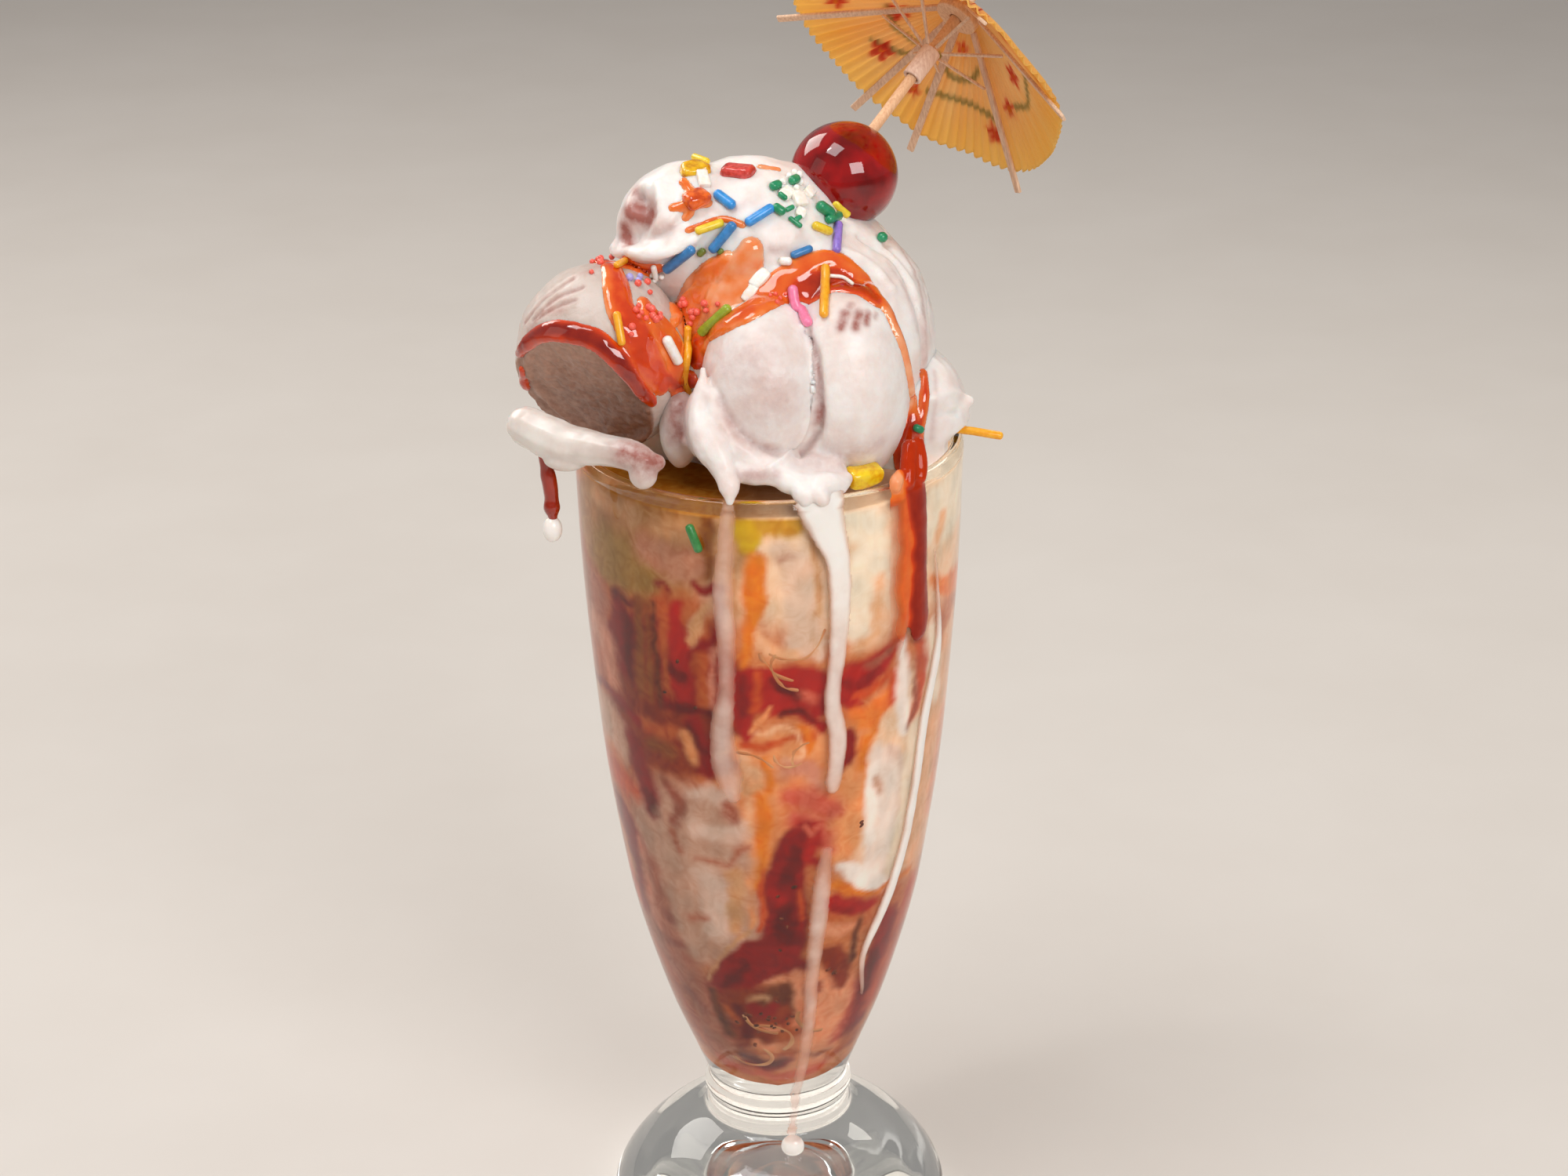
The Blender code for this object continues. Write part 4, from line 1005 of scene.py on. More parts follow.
# ---- syrup over the ice cream ----------------------------------------------------------------
# Thickness, depth of colour from 0 (thin, orange) to 1 (dark red), then (x, z, half width) as seen.
SYRUP = [
    # under the knob and down the left of the heap
    (0.8, 0.60, [(-38.5, 241.2, 1.2), (-34.5, 240.4, 2.2), (-30, 239.4, 2.4), (-26.4, 239.2, 1.8),
                 (-23.4, 239.4, 1.0)]),
    (1.0, 0.48, [(-34.4, 239.6, 2.4), (-33.2, 235, 3.1), (-32.8, 230.6, 3.3), (-30.6, 226.4, 3.8),
                 (-28.4, 221.6, 4.2), (-26.2, 216.4, 4.0), (-23.8, 212, 2.7)]),
    (0.9, 0.20, [(-35, 238.5, 1.4), (-34.9, 234, 1.6), (-34.4, 229.6, 1.4)]),
    (0.9, 0.30, [(-27.4, 231.2, 1.6), (-25.4, 227.6, 3.0), (-22.6, 223.4, 4.0), (-20.4, 218.6, 4.0),
                 (-20.6, 213.6, 3.4)]),
    (1.0, 0.85, [(-15.5, 222, 1.8), (-16, 217.5, 2.0)]),
    (1.0, 0.80, [(-24, 214, 1.8), (-20.5, 211.8, 2.2), (-17.4, 213, 2.0)]),
    # the broad swath down from the sweets
    (1.3, 0.14, [(-3.4, 243.2, 2.8), (-4.4, 240.4, 3.8), (-7, 236.6, 4.4), (-9.4, 232.6, 4.0),
                 (-11.4, 229, 3.2)]),
    (1.4, 0.24, [(-8.8, 241, 2.0), (-12.4, 236.8, 3.6), (-15.4, 232, 4.8), (-18.4, 227.4, 5.0)]),
    # a thicker, paler streak: a real ridge with a painted highlight on it
    (1.6, 0.05, [(-10.6, 238.6, 0.9), (-11.6, 234, 1.2), (-13.6, 229.6, 1.0)]),
    (1.5, 0.30, [(-15.4, 236.4, 0.9), (-18.6, 231, 1.3), (-21, 226.4, 1.2)]),
    # the ribbon round the top of the front scoop and down its right side
    (1.1, 0.32, [(-14.5, 221.4, 2.4), (-12, 224.6, 3.0), (-8, 227, 3.4), (-3.6, 229.4, 3.8),
                 (0.6, 232.4, 4.0), (4.6, 236, 3.6), (9, 239.4, 2.8), (13.6, 241, 2.2), (17, 239.6, 2.4),
                 (21, 236.2, 2.4), (24.2, 232.4, 2.0)]),
    (1.1, 0.16, [(24.2, 232.4, 2.0), (26.8, 228.4, 1.8), (28.6, 224, 1.5), (30.2, 219.6, 1.2),
                 (31.2, 215, 1.1), (31.9, 210.4, 1.2), (32.2, 205, 1.4)]),
    (1.1, 0.74, [(32.2, 203, 2.0), (31.8, 200, 3.0), (31.6, 196, 3.6), (31.8, 192, 3.4), (32.2, 189, 2.6)]),
    (0.7, 0.70, [(6, 233.6, 2.2), (10, 234.4, 4.0), (15.5, 235.2, 4.4), (20.5, 234, 3.8), (24, 231.4, 2.4)]),
    (0.6, 0.55, [(35.2, 214, 0.6), (35.3, 210, 1.1), (34.8, 204.6, 1.2), (33.6, 200, 1.6)]),
    # the dark outline round the cut face of the left scoop
    (1.0, 0.94, [(-55.6, 219.6, 1.0), (-53.6, 222.4, 1.8), (-50.5, 224.4, 2.2), (-46.5, 225, 2.4),
                 (-42, 224, 2.5), (-38, 222.2, 2.5), (-34.6, 219.2, 2.4), (-31.6, 215.2, 2.2),
                 (-28.8, 211, 1.8), (-26.2, 207.6, 1.2)]),
    (0.8, 0.95, [(-55.2, 216, 0.7), (-54.6, 211, 1.2), (-53.0, 207.5, 1.8)]),
    # splashes near the candied fruit
    (0.6, 0.32, [(-18.1, 259.3, 0.9), (-16.4, 257, 1.1), (-14.4, 255.1, 1.0)]),
    (0.6, 0.28, [(-20.4, 253.2, 1.1), (-17, 253.8, 1.3), (-12.8, 254.2, 1.0)]),
    (0.6, 0.24, [(-17.4, 256, 1.0), (-16.6, 252.6, 1.1), (-17.6, 251, 0.8)]),
    (0.5, 0.40, [(-17, 248, 0.8), (-10, 250.5, 0.7), (-5, 249.0, 0.8)]),
    (0.5, 0.15, [(-1, 262.3, 0.8), (3, 261.6, 0.6)]),
]
SKIN_THICKNESS = 0.9
SKIN_OVERLAP = 0.75         # how far the skin goes on, sunk in the cream, past the edge of the syrup


def syrup_material(name, coat, shine):
    """Rose syrup: sticky and clear, orange where it is a film and dark red where it is deep."""
    material, tree, shader, where = new_material(
        name, Roughness=0.07, IOR=1.46, Coat_Weight=coat, Coat_Roughness=0.03, Specular_IOR_Level=shine,
        Subsurface_Weight=0.25, Subsurface_Scale=0.0012, Subsurface_Radius=(1.0, 0.25, 0.1))
    depth = add_node(tree, "Attribute", attribute_name="depth").outputs["Fac"]
    drift = spread(tree, speckle(tree, where, 5.0, 3.0), 0.3, 0.7, -0.06, 0.08)
    depth = add_node(tree, "Math", {0: depth, 1: drift}, operation="ADD", use_clamp=True).outputs[0]
    thin = blend(tree, spread(tree, depth, 0.03, 0.22), rgba("F4AC80"), rgba("F07A2C"))
    middle = blend(tree, spread(tree, depth, 0.2, 0.5), thin, rgba("D9400C"))
    deep = blend(tree, spread(tree, depth, 0.45, 1.0), middle, rgba("7E0C04"))
    tree.links.new(deep, shader.inputs["Base Color"])
    bumps(tree, shader, speckle(tree, where, 3.5, 1.0), 0.12, 0.5)
    return material


def make_syrup(cream):
    """A skin of syrup over the cream, thick in the middle of each run and thin at its edges."""
    copies = []
    for piece in cream:
        copy = bpy.data.objects.new("copy", piece.data.copy())
        bpy.context.scene.collection.objects.link(copy)
        copies.append(copy)
    skin = fused(copies, "syrup", 0.55, 4)
    skin.data.materials.clear()
    tree = surface_tree([skin])
    points, normals = points_of(skin), normals_of(skin)
    edge = 0.30 * waves(points, 4.5, 21) + 0.12 * waves(points, 1.8, 22)
    height = np.full(len(points), -1e9)
    margin = np.full(len(points), -1e9)
    weight = np.zeros(len(points))
    depth = np.zeros(len(points))
    for thickness, tone, route in SYRUP:
        gap, width = off_trail(points, trail(tree, route))
        width = np.maximum(width[:, 0], 0.3)
        inside = width - gap + edge * np.minimum(width / 2.5, 1.0)
        share = np.clip(1 - inside / width, 0, 1)
        body = np.where(inside > 0, thickness * np.sqrt(1 - share ** 2 * 0.999), inside * 0.8)
        height = np.maximum(height, body)
        margin = np.maximum(margin, inside)
        pull = np.exp(np.clip(inside, -6, 6) * 1.3)
        weight += pull
        depth += pull * tone
    depth = depth / weight
    lumps = 0.12 * waves(points, 6, 23) + 0.12 * waves(points, 2.4, 25)
    height = np.maximum(np.where(height > 0, height * (1 + lumps), height), -0.6)
    place_points(skin, points + normals * height[:, None])
    thinner = ramp(margin, 0.0, 1.8)
    give_values(skin, "depth", np.clip(depth * (0.5 + 0.5 * thinner) + 0.09 * waves(points, 2.6, 24), 0, 1))
    keep = margin > -SKIN_OVERLAP
    pick(skin)
    bpy.ops.object.mode_set(mode="EDIT")
    bpy.ops.mesh.select_mode(type="VERT")
    bpy.ops.mesh.select_all(action="DESELECT")
    bpy.ops.object.mode_set(mode="OBJECT")
    skin.data.vertices.foreach_set("select", ~keep)
    bpy.ops.object.mode_set(mode="EDIT")
    bpy.ops.mesh.delete(type="VERT")
    bpy.ops.object.mode_set(mode="OBJECT")
    modify(skin, "SOLIDIFY", thickness=SKIN_THICKNESS * MM, offset=-1.0)
    return finish(skin, "syrup_over_cream", syrup_material("rose syrup", 0.8, 0.5))


# ---- runs down the outside of the glass ------------------------------------------------------
# Thickness, then a route of (angle from the front in degrees, height, half width).
CREAM_RUNS = [
    (0.40, [(-11.6, 200.2, 1.5), (-11.9, 196, 2.1), (-12.8, 188, 2.4), (-13.8, 178, 2.8), (-13.2, 166, 2.6),
            (-13.8, 155, 2.4), (-15.6, 145, 3.1), (-15.2, 137, 3.9), (-13.8, 131, 3.4), (-13.2, 128, 2.4)]),
    (0.60, [(14.4, 200.2, 6.2), (15.4, 196.6, 5.5), (17.5, 191.6, 4.3), (20.0, 185, 3.2), (20.6, 173, 2.8),
            (19.6, 160, 2.3), (18.6, 151, 2.3), (20.6, 143, 2.6), (20.6, 136, 2.3), (19.8, 131, 2.3),
            (19.6, 129, 1.9)]),
    (0.40, [(18.6, 113, 1.6), (17.8, 108, 2.3), (17.0, 100, 2.6), (16.4, 90, 2.5), (15.4, 78, 2.2),
            (16.2, 68, 2.0), (16.6, 58, 1.9), (16.6, 48, 1.8), (15.4, 41, 1.7), (13.5, 35, 1.5),
            (12, 30.5, 1.4), (10.4, 27.5, 1.4)]),
    (0.6, [(57, 181, 0.6), (60, 170, 1.1), (62.5, 160, 1.8), (62.5, 154, 2.4), (60, 146, 2.4),
           (57.5, 139, 2.4), (56.5, 130, 2.3), (55.5, 118, 2.3), (53.5, 106, 2.3), (49, 95, 2.3),
           (43.5, 87, 2.0), (40, 80, 1.5), (41, 75, 1.2), (44.6, 69, 1.0), (46.6, 66, 0.7)]),
    (0.4, [(50, 202, 0.6), (50.5, 197, 0.6), (52, 188, 0.7), (53.5, 178, 0.5)]),
]
SYRUP_RUNS = [
    (0.8, [(46.4, 200.4, 3.2), (47.4, 195, 3.4), (48.2, 188, 3.4), (48.6, 180, 3.4), (49.2, 172, 3.6),
           (50.2, 166, 3.8), (50.6, 163, 3.0)]),
    (0.45, [(41.4, 200.4, 3.6), (41.6, 194, 4.0), (41.6, 186, 4.0), (41.6, 178, 3.8), (41.8, 170, 3.4),
            (41.4, 163, 2.6), (40, 157, 1.5)]),
]
# Where the syrup crosses the rim, as rolls of (x, z, depth y, radius).
SYRUP_LAPS = [
    [(31.8, 196, -27.2, 1.8), (31.6, 192, -29.4, 1.9), (31.5, 189.4, -30.8, 1.9), (31.6, 187.6, -31.9, 1.5)],
    [(33.6, 197, -25.6, 1.6), (34.0, 193, -27.4, 1.9), (34.1, 190.4, -28.4, 1.9), (34.2, 188.7, -29.3, 1.5)],
    [(29.6, 189.4, -32.6, 1.2), (28.8, 187.6, -33.8, 1.6), (28.7, 186.3, -34.4, 1.3)],
]
# The drop that ran all the way down to the foot: angle, height, radius.
FOOT_DROP = (9.4, 25.4, 2.8)


def run_on_glass(route, thickness, start_share=1.0):
    """A run that clings to the wall: a roll along it, flattened onto the glass and thin at its edges."""
    path = []
    for angle, height, width in smooth_path(route, 4):
        path.append((*around_axis(float(wall_radius(height)), angle, height), width))
    piece = tube(round_ends(path, 1.0, start_share), 28)
    points = points_of(piece)
    reach = np.hypot(points[:, 0], points[:, 1])
    wall = wall_radius(points[:, 2])
    _, width = off_trail(points, np.array(path))
    stand = (reach - wall) / np.maximum(width[:, 0], 0.2)
    height = thickness * np.minimum(width[:, 0] / 2.0, 1.4)
    rounded = np.clip(stand, 0, 1) ** 1.5
    new_reach = wall + np.where(stand > 0, rounded * height, stand * 0.25)
    points[:, :2] *= (new_reach / reach)[:, None]
    place_points(piece, points)
    give_values(piece, "film", np.clip(stand, 0, 1) ** 0.8)
    return piece


def make_cream_runs():
    pieces = [run_on_glass(route, thickness, 0.3) for thickness, route in CREAM_RUNS]
    angle, height, radius = FOOT_DROP
    place = around_axis(float(wall_radius(height)) + 0.9, angle, height)
    pieces.append(ball(place, (radius, radius * 0.8, radius), segments=32, rings=20))
    piece = fused(pieces, "runs", 0.34, 3)
    swell(piece, 5.0, 0.10, 31)
    points = points_of(piece)
    around = np.degrees(np.arctan2(points[:, 0], -points[:, 1]))
    stand = np.hypot(points[:, 0], points[:, 1]) - wall_radius(points[:, 2])
    film = ramp(stand, -0.1, 0.7)
    # the left run is the thinnest, and the middle one thins as it goes down
    left = np.interp(points[:, 2], (195, 200), (0.58, 0.85))
    middle = np.interp(points[:, 2], (120, 165, 196), (0.66, 0.76, 1.0))
    film *= np.where(around < 0, left, np.where(around < 35, middle, 0.95))
    film = np.maximum(film, 1 - ramp(points[:, 2], 26, 30))
    give_values(piece, "film", film)
    material, tree, shader, where = new_material(
        "thin melted cream", Roughness=0.16, IOR=1.38, Subsurface_Weight=0.3, Subsurface_Scale=0.0015,
        Subsurface_Radius=(1.0, 0.6, 0.5), Coat_Weight=0.3)
    film = add_node(tree, "Attribute", attribute_name="film").outputs["Fac"]
    drift = spread(tree, speckle(tree, where, 7.0, 3.0), 0.3, 0.7, -0.08, 0.06)
    film = add_node(tree, "Math", {0: film, 1: drift}, operation="ADD", use_clamp=True).outputs[0]
    # the film's edges let the colours behind the glass through
    thin = blend(tree, spread(tree, film, 0.0, 0.45), rgba("DDA48C"), rgba("EEC4B0"))
    tree.links.new(blend(tree, spread(tree, film, 0.35, 0.95), thin, rgba("FFF6EF")),
                   shader.inputs["Base Color"])
    tree.links.new(spread(tree, film, 0.0, 0.85, 0.05, 1.0), shader.inputs["Alpha"])
    bumps(tree, shader, speckle(tree, where, 2.0, 2.0), 0.04, 0.4)
    finish(piece, "cream_runs_on_glass", material)


def make_syrup_runs():
    pieces = [run_on_glass(route, thickness, 0.3) for thickness, route in SYRUP_RUNS]
    pieces += [sighted_tube(route) for route in SYRUP_LAPS]
    piece = fused(pieces, "runs", 0.34, 3)
    swell(piece, 3.0, 0.08, 32)
    points = points_of(piece)
    around = np.degrees(np.arctan2(points[:, 0], -points[:, 1]))
    red_from = np.interp(points[:, 2], (190, 199), (44.4, 40.5))
    deep = 0.32 + 0.54 * ramp(around - red_from + 1.2 * waves(points, 4, 34), 0.0, 2.6)
    give_values(piece, "depth", deep - 0.2 * ramp(points[:, 2], 196, 200))
    # a film at the edges, thinnest down the orange side and at its lower end
    stand = np.hypot(points[:, 0], points[:, 1]) - wall_radius(points[:, 2])
    film = ramp(stand, -0.05, 0.3) * (0.12 + 0.88 * ramp(around + 1.2 * waves(points, 5, 35), 37.0, 44.4))
    film *= 1 - (1 - ramp(points[:, 2], 157, 172)) * (1 - ramp(around, 44, 46)) * 0.8
    give_values(piece, "film", np.maximum(film, ramp(points[:, 2], 194, 198)))
    material = syrup_material("rose syrup clinging to glass", 0.0, 0.25)
    tree = material.node_tree
    film = add_node(tree, "Attribute", attribute_name="film").outputs["Fac"]
    tree.links.new(spread(tree, film, 0.0, 0.8), tree.nodes["Principled BSDF"].inputs["Alpha"])
    finish(piece, "syrup_runs_on_glass", material)


def make_hanging_strand():
    """The thread of syrup that hangs from the roll of cream, and the drop of cream at its end."""
    thread = [(-49.2, -25.4, 205, 1.4), (-49, -25.2, 202.2, 1.3), (-48.6, -25, 199.8, 1.75),
              (-48.2, -25, 197, 1.7),
              (-48, -25, 194.4, 1.6), (-48, -25, 192.2, 1.9), (-47.9, -25, 190.3, 1.1)]
    piece = tube(round_ends(smooth_path(thread, 4)), 20)
    swell(piece, 2.5, 0.15, 33)
    give_values(piece, "depth", np.full(len(piece.data.vertices), 0.85))
    finish(piece, "syrup_thread", bpy.data.materials["rose syrup"])
    drop = ball((-48.1, -25, 187.2), (2.2, 2.2, 3.0), segments=32, rings=24)
    give_values(drop, "film", np.ones(len(drop.data.vertices)))
    finish(drop, "cream_drop", bpy.data.materials["thin melted cream"])


# ---- sprinkles and sweets --------------------------------------------------------------------
# Each rod's ends, and some a middle, as (x, z) seen from the front, then its radius.
RODS = {
    "egg_yellow": ("F2A514", [
        [(-17.4, 225), (-18.9, 217.5), (-18.3, 209.8), 0.95], [(-33.5, 228.3), (-32.4, 222), 0.95],
        [(13, 238.4), (13.2, 233), (13, 227.6), 1.05], [(-31, 241.4), (-33.4, 239.6), 0.8]]),
    "lemon": ("EBC92B", [
        [(-14.6, 247.4), (-10, 250), 1.0], [(10.6, 248.6), (13.6, 247), 1.0],
        [(15, 253.4), (17.6, 250.6), 1.0], [(-15.4, 264), (-13, 263), 0.9]]),
    "lime": ("94A926", [[(-14, 224.2), (-8.4, 228.8), 1.15]]),
    "pink": ("F07FA6", [[(5.8, 233.8), (6.6, 229.6), (9.6, 225.8), 1.15]]),
    "white": ("F7EFE4", [
        [(-23, 222.4), (-20.8, 217.6), 1.2], [(14.2, 236.8), (16.8, 236.4), (19, 234.8), 0.45],
        [(3.4, 240.6), (5, 240.0), 1.0], [(-24.8, 239.4), (-24.3, 237), 0.7]]),
    "sky_blue": ("2D8FD6", [
        [(-3.6, 249.4), (1, 252.4), 1.15], [(-10.2, 255.6), (-7.4, 253.4), 1.2]]),
    "sea_blue": ("2F79B4", [
        [(-21.8, 239.4), (-17, 244), 1.15], [(-11.4, 243.6), (-7.2, 248.6), 1.15],
        [(6.2, 241.4), (9.4, 243.2), 0.9]]),
    "violet": ("8B70C8", [[(15.6, 248.4), (15.5, 242.8), 1.0]]),
    "leaf_green": ("168A5B", [
        [(11.6, 252.6), (13.6, 251.2), 1.3], [(13.4, 249.8), (15.4, 250.6), 1.1],
        [(1.6, 257.2), (2.6, 257.6), 1.1], [(5.8, 258.4), (6.6, 258.8), 1.1],
        [(2.2, 252.6), (3.4, 251.8), 1.1], [(5.4, 250.2), (7.4, 248.6), 0.6],
        [(27.8, 248.0), (28.8, 248.2), 1.2], [(33.2, 200.8), (34.0, 200.2), 0.9],
        [(3.2, 255.6), (4.2, 254.8), 0.7], [(6.4, 249.8), (7.4, 250.6), 0.6],
        [(4.6, 252.2), (5.8, 252.8), 0.6]]),
    "olive_green": ("6D7A2A", [[(-14.6, 242.6), (-13.8, 243.2), 0.8], [(-10.2, 242.8), (-9.8, 243.2), 0.6]]),
}
# Tiny sugar balls: colour, how many, the middle (x, z) of the patch, its half size, ball radius.
BALLS = {
    "coral": ("F0604F", [(16, (-28, 229), (3.2, 5.0), 0.75), (12, (-17, 229.2), (4.0, 2.6), 0.75),
                         (6, (-37.5, 241), (1.8, 1.4), 0.7), (5, (2.4, 232.4), (1.4, 1.0), 0.5)]),
    "lilac": ("A9A3DC", [(3, (-28.8, 236.4), (0.8, 0.8), 0.8)]),
    "snow": ("FBF4EC", [(5, (-25, 237.5), (1.2, 2.0), 0.6), (7, (8, 258.5), (4.0, 1.6), 0.7)]),
}


def sugar_material(name, colour):
    """Pressed sugar with a thin wax glaze."""
    material, tree, shader, where = new_material(
        "sugar sprinkle " + name, Roughness=0.32, IOR=1.5, Subsurface_Weight=0.2, Subsurface_Scale=0.0008,
        Coat_Weight=0.3, Coat_Roughness=0.2)
    lighter = tuple(min(1.0, c * 1.25 + 0.02) for c in linear(colour))
    tree.links.new(blend(tree, spread(tree, speckle(tree, where, 1.2, 2.0), 0.4, 0.7), rgba(colour),
                         (*lighter, 1.0)),
                   shader.inputs["Base Color"])
    bumps(tree, shader, speckle(tree, where, 0.5, 2.0), 0.03, 0.5)
    return material


def make_rods(tree):
    for name, (colour, rods) in RODS.items():
        pieces = []
        for *route, radius in rods:
            path = []
            for x, z in smooth_path(route, 3) if len(route) > 2 else route:
                place, normal = seen(tree, x, z)
                path.append([*(place + normal * radius * 0.75), radius])
            pieces.append(tube(round_ends(path, 0.8), 12))
        finish(join(pieces, name), "sprinkles_" + name, sugar_material(name, colour))


def make_balls(tree):
    draw = random.Random(5)
    for name, (colour, patches) in BALLS.items():
        pieces = []
        for count, (x, z), (across, up), radius in patches:
            for _ in range(count):
                place, normal = seen(tree, x + draw.gauss(0, across * 0.6), z + draw.gauss(0, up * 0.6))
                size = radius * draw.uniform(0.75, 1.2)
                pieces.append(ball(place + normal * size * 0.5, (size, size, size), segments=16, rings=10))
        finish(join(pieces, name), "sugar_balls_" + name, sugar_material(name, colour))


def make_side_rods():
    """A rod stuck in the cream at the right, and one stuck to the outside of the glass."""
    path = [(40.0, -2.5, 201.5, 1.0), (46.0, -3.5, 201.0, 1.0), (52.0, -4.5, 200.2, 1.0)]
    finish(tube(round_ends(path, 0.8), 12), "sprinkle_standing_out",
           bpy.data.materials["sugar sprinkle egg_yellow"])
    ends = []
    for angle, height in ((-22.8, 193.6), (-20.4, 188.8)):
        ends.append((*around_axis(float(wall_radius(height)) + 0.7, angle, height), 1.05))
    finish(tube(round_ends(ends, 0.8), 12), "sprinkle_on_glass", sugar_material("bottle_green", "2E7D3C"))


def chip(tree, x, z, size, turn, sink=0.3, seed=0.0):
    """A rough lump lying on the surface: a softened block, pulled about."""
    place, normal = seen(tree, x, z)
    start_fresh()
    bpy.ops.mesh.primitive_cube_add(size=MM, location=(0, 0, 0))
    piece = bpy.context.object
    piece.scale = size
    settle()
    bpy.ops.object.mode_set(mode="EDIT")
    bpy.ops.mesh.bevel(offset=min(size) * 0.22 * MM, segments=2, affect="EDGES")
    bpy.ops.mesh.subdivide(number_cuts=2, smoothness=0.6)
    bpy.ops.object.mode_set(mode="OBJECT")
    lie = Vector(normal).to_track_quat("Z", "Y").to_matrix().to_4x4() @ Matrix.Rotation(turn, 4, "Z")
    piece.matrix_world = Matrix.Translation(at(*(place + normal * size[2] * (0.5 - sink)))) @ lie
    settle()
    swell(piece, max(size) * 0.4, min(size) * 0.16, seed)
    return piece


def make_sweets(tree):
    """Pale candy pieces: a broken heart near the cherry and a lump on the syrup."""
    chips = [chip(tree, 4.6, 256.0, (3.4, 2.6, 1.6), 0.5, seed=1),
             chip(tree, 7.4, 254.6, (3.6, 3.0, 1.8), 1.4, seed=2),
             chip(tree, 9.6, 256.2, (2.8, 2.4, 1.5), 0.2, seed=3),
             chip(tree, 7.6, 251.6, (2.4, 2.2, 1.3), 0.9, seed=4),
             chip(tree, -3.6, 233.2, (2.3, 4.2, 1.5), -0.5, seed=5),
             chip(tree, -1.4, 236.4, (2.8, 4.6, 1.8), -0.6, seed=6),
             chip(tree, -13.7, 259.6, (2.4, 4.4, 1.4), -0.2, seed=7)]
    finish(join(chips, "sweets"), "pale_sweets", sugar_material("pale", "FBF1E2"))


# ---- candied fruit and cherry ----------------------------------------------------------------
FRUIT = [
    ("yellow", (-15.4, 0.5, 261.6), (6.6, 4.6, 3.4), 0.3, "F0BC1E", "C98A06", "yellow_fruit"),
    ("red", (-6.0, -0.8, 261.4), (7.6, 4.4, 3.2), -0.35, "E2574E", "B02A22", "red_fruit"),
    ("orange", (-15.2, -7.4, 257.4), (6.0, 4.8, 3.4), 0.6, "EE6F25", "BF3D0B", "orange_fruit"),
    ("front", (20.8, -31.5, 201.4), (8.6, 4.6, 4.4), 0.50, "FFDA28", "E8AC10", "yellow_fruit"),
]
FRUIT_TILT = 0.2


def make_fruit():
    """Diced fruit boiled in sugar: glassy, wet, with soft broken edges."""
    for name, centre, size, turn, light, dark, slot in FRUIT:
        start_fresh()
        bpy.ops.mesh.primitive_cube_add(size=MM, location=(0, 0, 0))
        piece = bpy.context.object
        piece.scale = size
        settle()
        bpy.ops.object.mode_set(mode="EDIT")
        bpy.ops.mesh.bevel(offset=1.4 * MM, segments=3, affect="EDGES")
        bpy.ops.mesh.subdivide(number_cuts=3, smoothness=0.4)
        bpy.ops.object.mode_set(mode="OBJECT")
        spin = Matrix.Rotation(turn, 4, "Z") @ Matrix.Rotation(FRUIT_TILT, 4, "X")
        piece.matrix_world = Matrix.Translation(at(*centre)) @ spin
        settle()
        swell(piece, 3.0, 0.5, size[0])
        swell(piece, 1.2, 0.12, size[1])
        material, tree, shader, where = new_material(
            "candied fruit " + name, Roughness=0.14, IOR=1.48, Subsurface_Weight=0.5,
            Subsurface_Scale=0.0025,
            Subsurface_Radius=(1.0, 0.5, 0.1), Coat_Weight=0.4)
        fibres = spread(tree, speckle(tree, where, 1.8, 3.0), 0.4, 0.66)
        tree.links.new(blend(tree, fibres, rgba(light), rgba(dark)), shader.inputs["Base Color"])
        bumps(tree, shader, speckle(tree, where, 1.0, 3.0), 0.08, 0.4)
        finish(piece, "fruit_" + name, material, ["candied_fruit_" + name])


def make_cherry():
    """A glacé cherry: nearly round, glassy with sugar, dark where it is thick."""
    low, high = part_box("cherry")
    centre = (np.array((low + high) / 2) - np.array(AXIS)) / MM
    radius = (high.x - low.x) / 2 / MM
    piece = ball(centre, (radius, radius, radius * 0.985), segments=96, rings=64)
    points = points_of(piece)
    out = (points - centre) / radius
    # a shallow dimple where the stick goes in, and a slight unevenness all over
    way = np.array(PARASOL_WAY)
    dimple = np.exp(-((1 - out @ way) / 0.035) ** 2) * 0.5
    place_points(piece, points - out * dimple[:, None])
    swell(piece, 9.0, 0.22, 41)
    material, tree, shader, where = new_material(
        "glace cherry", Roughness=0.05, IOR=1.47, Subsurface_Weight=0.35, Subsurface_Scale=0.003,
        Subsurface_Radius=(1.0, 0.06, 0.03), Coat_Weight=0.35, Coat_Roughness=0.02)
    flesh = spread(tree, speckle(tree, where, 7.0, 2.0), 0.35, 0.68)
    tree.links.new(blend(tree, flesh, rgba("A40C0E"), rgba("6C0406")), shader.inputs["Base Color"])
    bumps(tree, shader, speckle(tree, where, 5.0, 1.0), 0.06, 0.4)
    finish(piece, "cherry_glazed", material, ["cherry"])


# ---- parasol ---------------------------------------------------------------------------------
APEX = np.array((46.6, 39.9, 288.8))
LEAN_ROUND, LEAN_UP = math.radians(44.0), math.radians(37.2)
PARASOL_WAY = (math.cos(LEAN_UP) * math.cos(LEAN_ROUND), math.cos(LEAN_UP) * math.sin(LEAN_ROUND),
               math.sin(LEAN_UP))
CANOPY_RADIUS = 37.5
CANOPY_DEPTH = 17.6
CANOPY_THICKNESS = 0.3
CANOPY_RINGS = 44
PLEATS = 88
PLEAT_STEPS = 6
PLEAT_DEPTH = 0.62
RIB_ANGLES = (-83, -12, 33, 56, 99, 145, 190, 234)
RIB_REACH = 41.7
RIB_WIDTH, RIB_THICKNESS = 1.8, 0.8
RIB_CLEARANCE = 0.5                        # between the ribs and the folds of the paper
HUB_RADIUS = 5.2
COLLAR = (2.3, 1.5, -15.2, -23.4)          # outer radius, bore, top, bottom
STRUT_REACH = 17.5
STRUT_WIDTH, STRUT_THICKNESS = 0.8, 0.6
STRUT_CLEARANCE = 0.6                      # between the struts' ends and the ribs
STICK = (1.2, -74.0, 2.2)                  # radius, bottom, top

